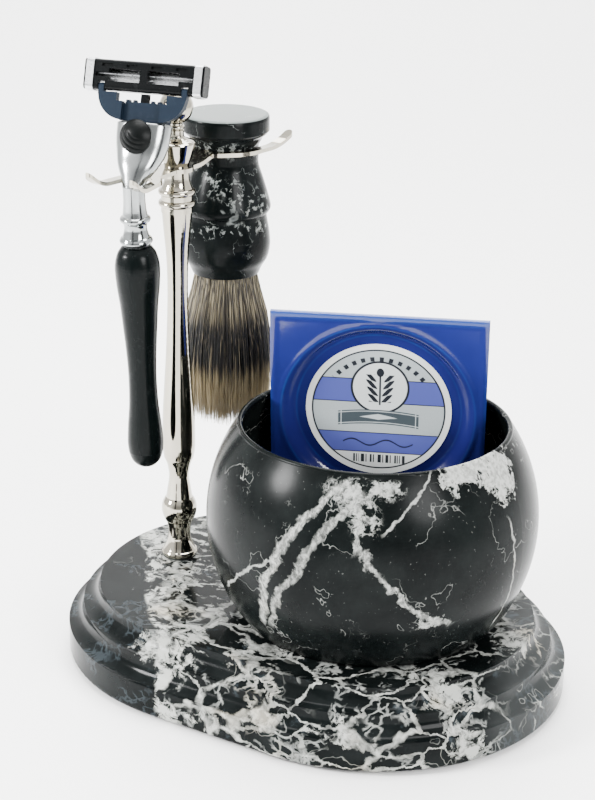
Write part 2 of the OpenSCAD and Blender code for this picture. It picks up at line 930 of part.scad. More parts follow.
module razor_cup() {
    color([0.78, 0.79, 0.81])
        difference() {
            at_razor()
                hull() {
                    for (s = cup_rows)
                        cup_slice(s[0], s[1], s[2], s[3], s[4]);
                    cup_slice(head_y, head_z, cup_w / 2, cup_d / 2, head_tilt);
                }
            in_head() {
                translate([-cavity_w / 2, -cavity_d / 2, -cavity_h])
                    cube([cavity_w, cavity_d, cavity_h + cut]);
                translate([-stem_w / 2 - slide_gap, -cup_d, stem_z - slide_gap])
                    cube([stem_w + 2 * slide_gap, cup_d, stem_h + button_travel + 2 * slide_gap]);
            }
        }
}

module release_button() {
    base_y = -button_back;
    color([0.05, 0.05, 0.05])
        in_head()
            union() {
                translate([0, base_y, button_at])
                    rotate([90, 0, 0])
                        intersection() {
                            union() {
                                translate([0, 0, rim_t + button_h - dome_r])
                                    sphere(r = dome_r);
                                cylinder(r = button_r, h = rim_t);
                            }
                            cylinder(r = button_r, h = rim_t + button_h + cut);
                        }
                translate([-stem_w / 2, base_y, stem_z])
                    cube([stem_w, -base_y - cavity_d / 2 + slide_gap, stem_h]);
            }
}

module release_plunger() {
    w = cavity_w - 2 * slide_gap;
    d = cavity_d - 2 * slide_gap;
    color([0.3, 0.32, 0.34])
        in_head()
            translate([-w / 2, -d / 2, plunger_z])
                cube([w, d, plunger_h]);
}

module button_spring() {
    low = -cavity_h + slide_gap;
    pitch = (plunger_z - slide_gap - low - 2 * wire_r) / spring_turns;
    color([0.7, 0.7, 0.7])
        in_head()
            translate([0, 0, low + wire_r])
                union() {
                    for (i = [0 : spring_turns])
                        translate([0, 0, i * pitch])
                            rotate_extrude()
                                translate([spring_r, 0])
                                    circle(r = wire_r);
                    for (i = [0 : spring_turns - 1])
                        rotate([0, 0, 180 * i])
                            translate([spring_r, 0, i * pitch])
                                cylinder(r = wire_r / 2, h = pitch);
                }
}

// Mirror a piece to both sides of the head
module both_sides() {
    for (m = [0, 1])
        mirror([m, 0, 0])
            children();
}

module yoke() {
    bevel = 1.8;
    half = yoke_w / 2;
    stem_w_in = cavity_w - 2 * slide_gap;
    stem_d_in = cavity_d - 2 * slide_gap;
    wing_x = half - 1;
    color([0.17, 0.21, 0.27])
        in_head()
            union() {
                translate([0, yoke_front, 0])
                    rotate([90, 0, 0])
                        linear_extrude(yoke_front - yoke_back)
                            polygon([
                                [-half, 0.3], [half, 0.3], [half, yoke_h - bevel],
                                [half - bevel, yoke_h], [bevel - half, yoke_h], [-half, yoke_h - bevel]
                            ]);
                translate([-stem_w_in / 2, -stem_d_in / 2, -yoke_stem_h])
                    cube([stem_w_in, stem_d_in, yoke_stem_h + cut]);
                both_sides() {
                    translate([0, wing_front, 0])
                        rotate([90, 0, 0])
                            linear_extrude(wing_front - wing_back)
                                difference() {
                                    intersection() {
                                        translate([wing_x, wing_top])
                                            circle(r = wing_r);
                                        translate([wing_x, wing_top - wing_r])
                                            square(wing_r);
                                    }
                                    translate([0, yoke_h])
                                        square([wing_gap_x, wing_r]);
                                }
                    translate([ear_x, pivot_y, pivot_z])
                        rotate([0, 90, 0])
                            cylinder(r = ear_r, h = ear_w);
                    translate([ear_x, pivot_y - ear_r, wing_top - 1])
                        cube([ear_w, 2 * ear_r, pivot_z - wing_top + 1]);
                    translate([ear_x - pin_len, pivot_y, pivot_z])
                        rotate([0, 90, 0])
                            cylinder(r = pin_r, h = pin_len + cut / 2);
                }
            }
}

module pivot_tongue() {
    color([0.12, 0.14, 0.17])
        in_head()
            translate([-tongue_w / 2, -2.4, yoke_h])
                cube([tongue_w, 1.6, housing_z - 0.25 - yoke_h]);
}

// Bar along x with rounded long edges
module rounded_bar(len, d, h, r) {
    translate([-len / 2, 0, 0])
        rotate([90, 0, 90])
            linear_extrude(len) {
                for (y = [r - d / 2, d / 2 - r])
                    for (z = [r - h / 2, h / 2 - r])
                        translate([y, z])
                            circle(r = r);
                square([d - 2 * r, h], center = true);
                square([d, h - 2 * r], center = true);
            }
}

module in_housing() {
    in_head()
        translate([0, housing_y, housing_z + housing_h / 2])
            children();
}

module blade_housing() {
    py = pivot_y - housing_y;
    pz = pivot_z - housing_z - housing_h / 2;
    notch = ear_r + ear_gap;
    color([0.06, 0.06, 0.07])
        in_housing()
            difference() {
                rounded_bar(housing_len, housing_d, housing_h, housing_edge_r);
                translate([-pocket_w / 2, housing_d / 2 - pocket_d, -pocket_h / 2])
                    cube([pocket_w, pocket_d + cut, pocket_h]);
                both_sides() {
                    translate([rib_w / 2, -housing_d, -window_h / 2])
                        cube([window_w, housing_d, window_h]);
                    translate([rib_w / 2, -housing_d, -window_h / 6])
                        cube([pocket_w / 2 - rib_w / 2 - 0.6, housing_d, window_h / 3]);
                    translate([ear_x - ear_gap, py - housing_d, pz - housing_h])
                        cube([ear_w + 2 * ear_gap, housing_d + notch, housing_h + notch]);
                    translate([ear_x - pin_len - ear_gap, py, pz])
                        rotate([0, 90, 0])
                            cylinder(r = pin_r + pin_gap, h = pin_len + ear_gap);
                }
                for (i = [0 : slot_count - 1])
                    translate([
                        (i - (slot_count - 1) / 2) * 2.3 * slot_w - slot_w / 2,
                        -housing_d / 2 - cut, window_h / 2 + 0.6
                    ])
                        cube([slot_w, cut + 0.6, 0.9]);
            }
}

module blades() {
    color([0.8, 0.82, 0.84])
        in_housing()
            for (i = [0 : blade_count - 1])
                translate([0, 0.9, (i - (blade_count - 1) / 2) * blade_pitch])
                    rotate([blade_tilt, 0, 0])
                        cube([pocket_w, blade_w, blade_t], center = true);
}

module end_clips() {
    outer = clip_t * 2;
    slack = 0.04;
    color([0.8, 0.82, 0.84])
        in_housing()
            both_sides()
                translate([housing_len / 2 - clip_inset - clip_w / 2, 0, 0])
                    difference() {
                        rounded_bar(clip_w, housing_d + outer, housing_h + outer, housing_edge_r + clip_t);
                        rounded_bar(
                            clip_w + cut, housing_d + slack,
                            housing_h + slack, housing_edge_r + slack / 2
                        );
                    }
}

module guard_strip() {
    base_z = -housing_h / 2 + 0.7;
    color([0.1, 0.1, 0.11])
        in_housing()
            union() {
                translate([-strip_w / 2, housing_d / 2, base_z])
                    cube([strip_w, 0.4, 1.2]);
                for (i = [0 : fin_count - 1])
                    translate([-strip_w / 2, housing_d / 2, base_z + i * 0.32])
                        cube([strip_w, 0.75, 0.16]);
            }
}

module glide_strip() {
    color([0.3, 0.5, 0.48])
        in_housing()
            translate([-strip_w / 2, housing_d / 2, housing_h / 2 - 1.9])
                cube([strip_w, 0.5, 1.4]);
}

base_slab();
base_pad();
post_felt();
post_foot();
post_column();
ring_collar();
hanger_bracket();
urn();
finial_neck();
finial_ball();
tie_rod();
rod_washer();
rod_nut();
bowl();
bowl_felt();
soap_tray();
soap_back();
soap_puck();
soap_label();
razor_handle();
razor_ferrule();
razor_neck();
razor_cup();
razor_stud();
release_button();
release_plunger();
button_spring();
yoke();
pivot_tongue();
blade_housing();
blades();
end_clips();
guard_strip();
glide_strip();
brush_handle();
knot_plug();
hair_knot();
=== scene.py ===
import math
import random

import bpy
from mathutils import Matrix, Vector


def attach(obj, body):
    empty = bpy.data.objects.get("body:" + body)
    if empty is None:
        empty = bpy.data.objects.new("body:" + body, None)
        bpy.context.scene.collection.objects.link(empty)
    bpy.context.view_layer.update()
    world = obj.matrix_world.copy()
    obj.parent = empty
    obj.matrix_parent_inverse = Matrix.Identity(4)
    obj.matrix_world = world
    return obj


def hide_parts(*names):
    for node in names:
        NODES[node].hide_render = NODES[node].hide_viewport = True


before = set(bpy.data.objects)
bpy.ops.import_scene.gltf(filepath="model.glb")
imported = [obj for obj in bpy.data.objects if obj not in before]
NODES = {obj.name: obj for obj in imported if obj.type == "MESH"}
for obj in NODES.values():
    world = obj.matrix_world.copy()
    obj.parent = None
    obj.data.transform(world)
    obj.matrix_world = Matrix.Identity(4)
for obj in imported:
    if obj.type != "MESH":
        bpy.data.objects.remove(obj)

bl_info = {
    "name": "Stone shaving stand",
    "version": (1, 0, 0),
    "blender": (4, 5, 0),
    "location": "View3D > Sidebar > Shaving",
    "description": "Builds the visible pieces and finishes of a stone shaving stand",
    "category": "Object",
}

MM = 0.001

# Sizes shared with the parametric source, in millimetres and degrees.
HEAD_Y, HEAD_Z, HEAD_TILT = 10.9, 14.8, 21
BUTTON_DROP = 4.5
HAIR_TOP = -43.9
PACK_HALF = 35.0
BOWL_CENTRE = (21, 0, 58)


def turn(degrees, axis):
    return Matrix.Rotation(math.radians(degrees), 4, axis)


def shift(x, y, z):
    return Matrix.Translation(Vector((x, y, z)) * MM)


# Frames of the tilted groups, the same as in the parametric source.
RAZOR = shift(-54, -23.5, 161.7) @ turn(2.9, "X") @ turn(12.5, "Z")
HEAD = RAZOR @ shift(0, HEAD_Y, HEAD_Z) @ turn(-HEAD_TILT, "X")
PACK = shift(11.25, 20.4, 50) @ turn(24.4, "Z") @ turn(6.9, "X") @ shift(0, 0, PACK_HALF)
BRUSH = shift(-54, 28.5, 162.9)


# ---------------------------------------------------------------- shader graphs

SOCKETS = {"ior": "IOR", "metallic": "Metallic", "transmission_weight": "Transmission Weight"}


class Value:
    """A socket of a shader graph that can be used in sums."""

    def __init__(self, graph, socket):
        self.graph = graph
        self.socket = socket

    def _do(self, operation, *others):
        return self.graph.math(operation, self, *others)

    def __add__(self, other):
        return self._do("ADD", other)

    def __radd__(self, other):
        return self.graph.math("ADD", other, self)

    def __sub__(self, other):
        return self._do("SUBTRACT", other)

    def __rsub__(self, other):
        return self.graph.math("SUBTRACT", other, self)

    def __mul__(self, other):
        return self._do("MULTIPLY", other)

    def __rmul__(self, other):
        return self.graph.math("MULTIPLY", other, self)

    def __truediv__(self, other):
        return self._do("DIVIDE", other)

    def __rtruediv__(self, other):
        return self.graph.math("DIVIDE", other, self)

    def __abs__(self):
        return self._do("ABSOLUTE")

    def __gt__(self, other):
        return self._do("GREATER_THAN", other)

    def at_most(self, other):
        return self._do("MINIMUM", other)

    def at_least(self, other):
        return self._do("MAXIMUM", other)

    def sine(self):
        return self._do("SINE")

    def root(self):
        return self._do("SQRT")

    def step(self, low, high):
        """Soft step from 0 at low to 1 at high."""
        span = {"Value": self, "From Min": low, "From Max": high}
        return self.graph.node("ShaderNodeMapRange", {"interpolation_type": "SMOOTHSTEP"}, span)

    def near(self, middle, half, soft):
        """1 within half of middle, 0 further off."""
        return 1.0 - abs(self - middle).step(half - soft, half + soft)


class Graph:
    """A node tree, with a method for each kind of node that is added to it."""

    def __init__(self, tree):
        self.tree = tree

    def plug(self, socket, value):
        if isinstance(value, Value):
            self.tree.links.new(value.socket, socket)
        else:
            socket.default_value = value

    def node(self, kind, settings=None, inputs=None, output=0):
        """A node of one kind, with its settings and inputs, as the value of one output."""
        made = self.tree.nodes.new(kind)
        for key, value in (settings or {}).items():
            setattr(made, key, value)
        for key, value in (inputs or {}).items():
            self.plug(made.inputs[key], value)
        return Value(self, made.outputs[output])

    def math(self, operation, *terms):
        return self.node("ShaderNodeMath", {"operation": operation}, dict(enumerate(terms)))

    def vector(self, operation, *terms, output=0):
        return self.node("ShaderNodeVectorMath", {"operation": operation}, dict(enumerate(terms)), output)

    def place(self):
        """Where a point is, in millimetres, in the object's frame."""
        raw = self.node("ShaderNodeTexCoord", output=3)
        return self.scaled(raw, 1000.0)

    def scaled(self, vector, factor):
        return self.node("ShaderNodeVectorMath", {"operation": "SCALE"}, {0: vector, "Scale": factor})

    def along(self, vector, axis, start=(0, 0, 0)):
        """How far a point is from start, along an axis."""
        axis, start = Vector(axis), Vector(start)
        return self.vector("DOT_PRODUCT", vector, tuple(axis), output=1) - axis.dot(start)

    def noise(self, vector, size, detail=3.0, rough=0.55, output=0):
        inputs = {"Vector": vector, "Scale": 1.0 / size, "Detail": detail, "Roughness": rough}
        return self.node("ShaderNodeTexNoise", None, inputs, output)

    def cells(self, vector, size):
        """How far a point is from the nearest border between broken pieces."""
        inputs = {"Vector": vector, "Scale": 1.0 / size}
        return self.node("ShaderNodeTexVoronoi", {"feature": "DISTANCE_TO_EDGE"}, inputs)

    def warp(self, vector, size, amount, detail=2.0):
        """The vector, pushed about by a noise."""
        wobble = self.noise(vector, size, detail, output=1)
        moved = self.vector("SUBTRACT", wobble, (0.5, 0.5, 0.5))
        return self.vector("ADD", vector, self.scaled(moved, amount))

    def mix(self, factor, first, second):
        inputs = {0: factor, 6: first, 7: second}
        return self.node("ShaderNodeMix", {"data_type": "RGBA"}, inputs, 2)


class Finish(Graph):
    """The node tree of one material, which ends in its shader."""

    def __init__(self, name):
        self.material = bpy.data.materials.new(name)
        self.material.use_nodes = True
        super().__init__(self.material.node_tree)
        self.shader = self.tree.nodes["Principled BSDF"]

    def bump(self, height, strength, distance):
        inputs = {"Height": height, "Strength": strength, "Distance": distance}
        self.plug(self.shader.inputs["Normal"], self.node("ShaderNodeBump", None, inputs))

    def finish(self, color, roughness, **constants):
        self.plug(self.shader.inputs["Base Color"], color)
        self.plug(self.shader.inputs["Roughness"], roughness)
        for key, value in constants.items():
            self.shader.inputs[SOCKETS[key]].default_value = value
        return self.material


def rgb(r, g, b):
    return (r, g, b, 1.0)


def toned(color, factor, lift=0.0):
    """The same colour, darker or lighter."""
    return tuple(c * factor + lift for c in color[:3]) + (1.0,)


def strongest(masks):
    """The greatest of several masks."""
    most = masks[0]
    for mask in masks[1:]:
        most = most.at_least(mask)
    return most


def thin_veins(g, p, size, width, breaks):
    """Thin pale lines that follow the middle level of a noise, broken up by another."""
    line = 1.0 - abs(g.noise(p, size, 4.0, 0.6) - 0.5).step(0.0, width)
    return line * g.noise(p, size * 0.7, 2.0).step(breaks, breaks + 0.12)


def seam(g, p, points, width, ragged=0.5):
    """A vein in the plane through three points of the surface, from the first to the last."""
    a, b, c = (Vector(q) for q in points)
    normal = (b - a).cross(c - a).normalized()
    way = (c - a).normalized()
    length = (c - a).length
    rough = (g.noise(p, 5.0, 4.0, 0.65) - 0.5) * ragged * width * 6.0
    across = abs(g.along(p, normal, a) + rough)
    on = g.along(p, way, a)
    body = 1.0 - across.step(width * 0.35, width)
    ends = on.step(-2.0, 2.0) * (1.0 - on.step(length - 2.0, length + 2.0))
    side = g.along(p, (a - Vector(BOWL_CENTRE)).normalized(), BOWL_CENTRE).step(-5.0, 10.0)
    return body * ends * side


def spot(g, p, centre, size):
    """1 inside an ellipsoid, 0 outside it, with a ragged edge."""
    offset = g.vector("SUBTRACT", p, tuple(centre))
    part = g.vector("DIVIDE", offset, tuple(size))
    far = g.vector("LENGTH", part, output=1) + (g.noise(p, 4.5, 5.0, 0.7) - 0.5) * 3.6
    return 1.0 - far.step(0.85, 1.075)


def spots(g, p, rows):
    """All the ellipsoids of a list of centres and sizes."""
    return strongest([spot(g, p, centre, size) for centre, size in rows])


def stone_finish(g, p, pale, dark, light, warm, rough):
    """Polished black stone with pale veins: pale is 0 in the stone and 1 in a vein."""
    tint = g.noise(p, 22.0, 3.0).step(0.55, 0.75) * warm
    vein = g.mix(tint, light, rgb(light[0] * 1.05, light[1] * 0.86, light[2] * 0.62))
    color = g.mix(pale, dark, vein)
    smear = g.noise(p, 9.0, 4.0) * 0.06
    g.bump(g.noise(p, 1.5, 3.0) + pale * 0.5, 0.05, 0.0002)
    return g.finish(color, smear + pale * 0.05 + rough, ior=1.13)


def base_stone(veins):
    """Black stone by the post, then a snowy border, broken stone with pale joints and a net of veins."""
    g = Finish("base stone")
    p = g.place()
    w = g.warp(p, 16.0, 9.0, 3.0)
    fine = g.warp(w, 4.0, 3.0, 3.0)
    edge = g.along(w, (0.78, 0.626, 0)) + 55.8
    right = g.along(w, (0.94, 0.34, 0)) - 62.0
    broken = edge.step(0.0, 3.0)
    calm = right.step(0.0, 9.0)
    torn = g.warp(fine, 1.6, 1.8, 3.0)
    flat = g.vector("MULTIPLY", torn, (0.75, 0.9, 1.7))
    clasts = g.cells(flat, 15.0)
    patch = g.noise(p, 17.0, 2.0).step(0.46, 0.62)
    uneven = 0.55 + 0.45 * g.noise(torn, 4.0, 3.0).step(0.4, 0.6)
    joints = (1.0 - clasts.step(0.02, 0.035 + patch * 0.07)) * uneven
    crumbs = 1.0 - g.cells(torn, 3.4).step(0.03, 0.16)
    crumbly = g.noise(w, 10.0, 3.0).step(0.52, 0.6) * crumbs * 0.6
    wide = 9.0 + (g.noise(p, 13.0, 3.0) - 0.5) * 44.0
    snow = edge.step(0.0, 1.5) * (1.0 - (edge - wide).step(-3.0, 1.0))
    snow = snow * g.noise(torn, 4.4, 4.0, 0.65).step(0.47, 0.57)
    streaks = g.noise(g.vector("MULTIPLY", torn, (0.5, 1.6, 2.2)), 6.0, 4.0).step(0.56, 0.64)
    streaks = streaks * edge.step(4.0, 10.0) * (1.0 - edge.step(26.0, 46.0))
    streaks = streaks * g.along(p, (0, 0, 1)).step(18.0, 24.0)
    net = (1.0 - g.cells(fine, 9.0).step(0.0, 0.05)) * 0.7 * g.noise(w, 14.0, 2.0).step(0.38, 0.55)
    rubble = (joints.at_least(crumbly) * (1.0 - calm)).at_least(net * calm) * broken
    milk = spots(g, torn, [
        ((60, -30, 20), (13, 7, 5)), ((0, -60, 6), (7, 5, 2.5)), ((72, 6, 24), (6, 8, 6)),
        ((-26, -54, 20), (7, 5, 4)), ((46, -58, 14), (9, 5, 4)), ((74, -34, 8), (6, 5, 5)),
    ])
    faint = thin_veins(g, w, 34.0, 0.006, 0.52) * 0.35
    grain = g.noise(torn, 2.6, 4.0, 0.65).step(0.34, 0.6) * 0.6 + 0.4
    milk = milk * g.noise(torn, 5.0, 4.0, 0.65).step(0.4, 0.56)
    pale = strongest([rubble * grain, snow, milk * 0.9, faint, streaks * 0.75]) * veins
    cloud = g.noise(w, 12.0, 4.0).step(0.35, 0.8)
    grey = g.mix(cloud, rgb(0.0018, 0.0026, 0.0026), rgb(0.006, 0.0076, 0.0076))
    grey = g.mix(calm * 0.6, grey, rgb(0.035, 0.038, 0.038))
    haze = crumbly * 0.4 + g.noise(torn, 8.0, 4.0).step(0.58, 0.8) * 0.55 * broken
    grey = g.mix(haze, grey, rgb(0.06, 0.076, 0.088))
    return stone_finish(g, p, pale.at_most(1.0), grey, rgb(0.36, 0.37, 0.345), 0.5, 0.1)


def bowl_stone(veins):
    """Black stone with a few broad veins and snowy lumps in front, and threads of veins elsewhere."""
    g = Finish("bowl stone")
    p = g.place()
    w = g.warp(g.warp(p, 12.0, 5.0, 3.0), 2.4, 1.6, 3.0)
    left = [(36, -42, 87), (23, -50, 69), (10, -47, 36)]
    inner = [(42, -41, 84), (29, -50, 66), (14, -47, 36)]
    right = [(42, -47, 71), (52, -43, 57), (64, -29, 41)]
    branch = [(55, -27, 89), (54, -35, 82), (48, -42, 74)]
    drop = [(40, -43, 86), (43, -46, 78), (42, -47, 68)]
    side = [(74, -6, 70), (73, -4, 46), (67, -5, 33)]
    foot = [(-5, -43, 42), (7, -51, 55), (19, -53, 62)]
    lines = g.noise(g.vector("MULTIPLY", w, (1.5, 1.5, 0.6)), 1.7, 4.0, 0.65).step(0.4, 0.6) * 0.65 + 0.35
    broad = strongest([
        seam(g, w, left, 1.9), seam(g, w, inner, 1.5) * 0.8,
        seam(g, w, right, 1.2, 0.9), seam(g, w, drop, 1.1, 1.1),
    ]) * lines
    narrow = strongest([
        seam(g, w, branch, 0.5) * 0.8, seam(g, w, side, 0.5) * 0.7, seam(g, w, foot, 0.5) * 0.7,
    ])
    lump = spots(g, w, [
        ((38, -42, 85), (9, 8, 4)), ((43, -44, 78), (5, 5, 7)),
        ((61, -35, 44), (6, 5, 2.5)), ((47, -38, 86), (6, 5, 3)),
    ])
    lump = lump * g.noise(w, 4.5, 4.0, 0.65).step(0.42, 0.54)
    snow = spots(g, w, [((61, -16, 87), (7, 9, 4)), ((66, -4, 83), (6, 7, 9))])
    snow = snow.at_least(spot(g, w, (-23, -17, 87), (5, 6, 3)) * 0.8)
    hidden = thin_veins(g, w, 42.0, 0.012, 0.5)
    threads = thin_veins(g, w, 26.0, 0.005, 0.46) * 0.45
    hairs = thin_veins(g, w, 13.0, 0.006, 0.58) * 0.18
    front = g.along(p, (0.49, -0.87, 0), BOWL_CENTRE).step(-8.0, -2.0)
    pale = strongest([broad, narrow, lump * 0.85, snow, threads, hairs, hidden * (1.0 - front)]) * veins
    specks = g.noise(p, 0.9, 1.0).step(0.72, 0.78) * 0.12
    cloud = g.noise(w, 20.0, 5.0, 0.6).step(0.35, 0.75)
    grey = g.mix(cloud, rgb(0.0014, 0.0021, 0.0021), rgb(0.0055, 0.007, 0.0068))
    grain = g.noise(g.warp(p, 2.0, 2.0), 1.4, 3.0, 0.6).step(0.3, 0.62) * 0.5 + 0.5
    return stone_finish(g, p, (pale * grain + specks).at_most(1.0), grey, rgb(0.34, 0.35, 0.33), 0.3, 0.2)


def brush_stone(veins):
    """Black stone with torn pale bands round the handle, and a flat top painted paler as a painted
    reflection.
    """
    g = Finish("brush stone")
    p = g.place()
    w = g.warp(p, 8.0, 6.0, 4.0)
    band = g.along(w, (0.55, 0.1, 0.83), (-45, 18, 149)).near(0.0, 3.5, 2.0)
    low = g.along(w, (-0.2, 0.1, 0.97), (-52, 14, 136)).near(0.0, 1.6, 1.0)
    neck = g.along(w, (0.1, 0.1, 0.98), (-54, 28, 163)).near(0.0, 1.8, 1.5)
    torn = g.noise(g.warp(w, 1.5, 1.5), 2.4, 4.0, 0.65).step(0.53, 0.62)
    bands = strongest([band, low, neck]) * torn * 0.6
    threads = thin_veins(g, w, 14.0, 0.006, 0.5) * 0.55
    veils = thin_veins(g, w, 24.0, 0.02, 0.56) * 0.6
    pale = strongest([bands, threads, veils]) * veins
    cloud = g.noise(w, 12.0, 4.0).step(0.4, 0.75)
    grey = g.mix(cloud, rgb(0.0016, 0.0024, 0.0024), rgb(0.006, 0.0075, 0.0075))
    # painted reflection: the flat top is mixed to pale grey, in place of the light it reflects
    top = g.along(p, (0, 0, 1)).step(172.6, 172.9)
    grey = g.mix(top, grey, rgb(0.115, 0.13, 0.126))
    return stone_finish(g, p, pale.at_most(1.0), grey, rgb(0.26, 0.28, 0.27), 0.2, 0.16)


def metal(name, color, rough, dull=0.06):
    """Polished plate: faint lengthwise wiping marks, finger haze and slight waves."""
    g = Finish(name)
    p = g.place()
    flat = g.vector("MULTIPLY", p, (1.0, 1.0, 0.12))
    wiped = g.noise(flat, 0.7, 2.0)
    haze = g.noise(p, 7.0, 4.0, 0.6).step(0.45, 0.8)
    shade = g.mix(haze * 0.7, color, toned(color, 0.86))
    g.bump(g.noise(p, 2.2, 2.0) * 0.6 + wiped * 0.1, 0.05, 0.0003)
    return g.finish(shade, haze * dull + wiped * 0.02 + rough, metallic=1.0)


def plastic(name, color, rough, grain, strength):
    """Moulded plastic: fine grain, slight scuffs and a little unevenness in its colour."""
    g = Finish(name)
    p = g.place()
    pits = g.noise(p, grain, 2.0)
    scuff = g.noise(g.warp(p, 5.0, 4.0), 3.0, 5.0, 0.65).step(0.55, 0.8)
    shade = g.mix(scuff * 0.6, color, toned(color, 1.5, 0.004))
    g.bump(pits, strength, 0.0002)
    return g.finish(shade, scuff * 0.12 + pits * 0.05 + rough, ior=1.16)


def felt_cloth():
    """Dark felt: short fuzz over soft clumps."""
    g = Finish("felt")
    p = g.place()
    fuzz = g.noise(p, 0.35, 3.0, 0.7)
    clump = g.noise(p, 2.4, 3.0)
    shade = g.mix(fuzz * 0.6 + clump * 0.4, rgb(0.006, 0.008, 0.007), rgb(0.03, 0.036, 0.032))
    g.bump(fuzz, 0.6, 0.0006)
    return g.finish(shade, fuzz * 0.08 + 0.88)


def steel():
    """Brushed steel with its grain along X."""
    g = Finish("steel")
    p = g.place()
    grain = g.noise(g.vector("MULTIPLY", p, (0.15, 1.0, 1.0)), 0.25, 3.0)
    shade = g.mix(grain, rgb(0.5, 0.51, 0.52), rgb(0.72, 0.73, 0.74))
    g.bump(grain, 0.12, 0.0001)
    return g.finish(shade, grain * 0.16 + 0.2, metallic=1.0)


def soap_plastic(clear):
    """Thin blue plastic: painted highlights make it lighter at its edges and rings, and painted shade makes
    it darker low down.
    """
    g = Finish("soap plastic")
    p = g.place()
    x, z, r = pack_place(g, p)
    # painted highlight: the top edge and the sides are lighter where they catch the light
    rim = z.step(32.0, PACK_HALF).at_least(abs(x).step(33.8, PACK_HALF) * 0.4)
    cup = 1.0 - r.step(30.5, 32.0)
    # painted highlight: lighter rings along the edges of the dish
    edge = r.near(31.6, 0.25, 0.4).at_least(r.near(26.9, 0.2, 0.4))
    edge = edge * (0.4 + g.noise(p, 20.0, 2.0).step(0.4, 0.7))
    fog = g.noise(p, 18.0, 3.0).step(0.3, 0.8)
    color = g.mix(fog * 0.6, rgb(0.011, 0.016, 0.115), rgb(0.015, 0.022, 0.15))
    color = g.mix(cup * 0.75, color, rgb(0.014, 0.017, 0.125))
    # painted highlights: lighter top edge, sides and rings
    color = g.mix(rim * 0.7, color, rgb(0.01, 0.045, 0.22))
    color = g.mix(edge * 0.3, color, rgb(0.012, 0.1, 0.42))
    # painted shade: the plastic is darker low down
    low = 1.0 - z.step(-16.0, 6.0)
    color = g.mix(low * 0.7, color, rgb(0.003, 0.003, 0.04))
    scuff = g.noise(p, 4.0, 4.0).step(0.5, 0.8)
    g.bump(g.noise(p, 6.0, 2.0), 0.06, 0.0008)
    return g.finish(color, scuff * 0.06 + 0.13, transmission_weight=clear, ior=1.46)


def pack_place(g, p):
    """Across, up and out from the middle of the pack's raised front."""
    centre = PACK.translation * 1000
    x = g.along(p, PACK.col[0].to_3d(), centre)
    z = g.along(p, PACK.col[2].to_3d(), centre)
    return x, z, (x * x + z * z).root()


def soap_bar():
    """Swirled blue soap."""
    g = Finish("soap bar")
    p = g.place()
    swirl = g.noise(g.warp(p, 12.0, 10.0), 9.0, 4.0)
    color = g.mix(swirl, rgb(0.05, 0.1, 0.42), rgb(0.12, 0.2, 0.6))
    g.bump(swirl, 0.2, 0.0008)
    return g.finish(color, swirl * 0.1 + 0.4)


def label_print():
    """A plain printed label: bands, a roundel with a sprig, a scroll, a wavy line, bars and a row of dots."""
    g = Finish("label")
    p = g.place()
    x, z, r = pack_place(g, p)
    ink = rgb(0.012, 0.014, 0.02)
    lavender = rgb(0.075, 0.09, 0.34)
    paper = g.noise(p, 0.5, 2.0)
    white = g.mix(paper, rgb(0.66, 0.69, 0.68), rgb(0.76, 0.78, 0.77))
    silver = g.mix(paper, rgb(0.34, 0.385, 0.4), rgb(0.41, 0.455, 0.465))
    field = 1.0 - r.step(21.5, 21.7)
    color = g.mix(field, white, silver)
    bands = z.near(6.8, 4.2, 0.08).at_least(z.near(-12.2, 3.6, 0.08)) * field
    color = g.mix(bands, color, lavender)
    color = g.mix((1.0 - z.step(-16.0, -15.8)) * field, color, white)
    rules = strongest([z.near(height, 0.16, 0.06) for height in (11.0, 2.6, -8.6, -15.8)]) * field
    color = g.mix(rules.at_least(r.near(21.6, 0.28, 0.08)), color, ink)
    u, v = x - 0.4, z - 8.2
    s = (u * u + v * v).root()
    roundel = g.mix(paper, rgb(0.6, 0.64, 0.64), rgb(0.68, 0.72, 0.72))
    color = g.mix(1.0 - s.step(9.2, 9.4), color, roundel)
    color = g.mix(s.near(9.2, 0.38, 0.08), color, ink)
    stem = u.near(0.0, 0.32, 0.08) * v.near(-0.8, 5.6, 0.1)
    leaf_x = abs(abs(u) - 2.5 - (v + 1.0) * 0.12)
    wave = abs((v * 1.35 + abs(u) * -1.1).sine())
    leaves = (1.0 - (leaf_x / 2.1 + (1.0 - wave) * 0.9).step(0.75, 0.85)) * v.near(-0.4, 5.0, 0.1)
    tip = v - 5.4
    bud = 1.0 - (u * u * 1.6 + tip * tip).root().step(1.5, 1.65)
    color = g.mix(strongest([stem, leaves, bud]) * (1.0 - s.step(8.1, 8.3)), color, ink)
    arch = z + 2.6 + x * x * 0.006
    scroll = arch.near(0.0, 2.6, 0.08) * x.near(0.0, 13.2, 0.1)
    trim = (abs(arch).near(2.0, 0.13, 0.05) + abs(x).near(12.2, 0.13, 0.05)) * scroll
    diamond = (1.0 - (abs(x) / 6.5 + abs(arch) / 1.1).step(0.9, 1.0)) * scroll
    color = g.mix(scroll, color, rgb(0.05, 0.065, 0.075))
    color = g.mix((trim.at_least(diamond)).at_most(1.0), color, rgb(0.5, 0.55, 0.56))
    flourish = (z + 12.2 - (x * 0.55).sine() * 1.1).near(0.0, 0.28, 0.1) * x.near(0.0, 11.5, 0.2)
    color = g.mix(flourish, color, ink)
    bars = ((x * 4.6).sine() + (x * 7.9).sine() + (x * 2.3).sine()) > 0.1
    bars = bars * x.near(0.0, 9.0, 0.05) * z.near(-18.1, 1.5, 0.05)
    color = g.mix(bars, color, ink)
    angle = g.math("ARCTAN2", z, x)
    dots = ((angle * 38.0).sine() > 0.1) * r.near(18.4, 0.8, 0.1) * angle.near(1.571, 0.92, 0.02)
    color = g.mix(dots, color, ink)
    g.bump(paper, 0.04, 0.0001)
    return g.finish(color, paper * 0.1 + 0.33)


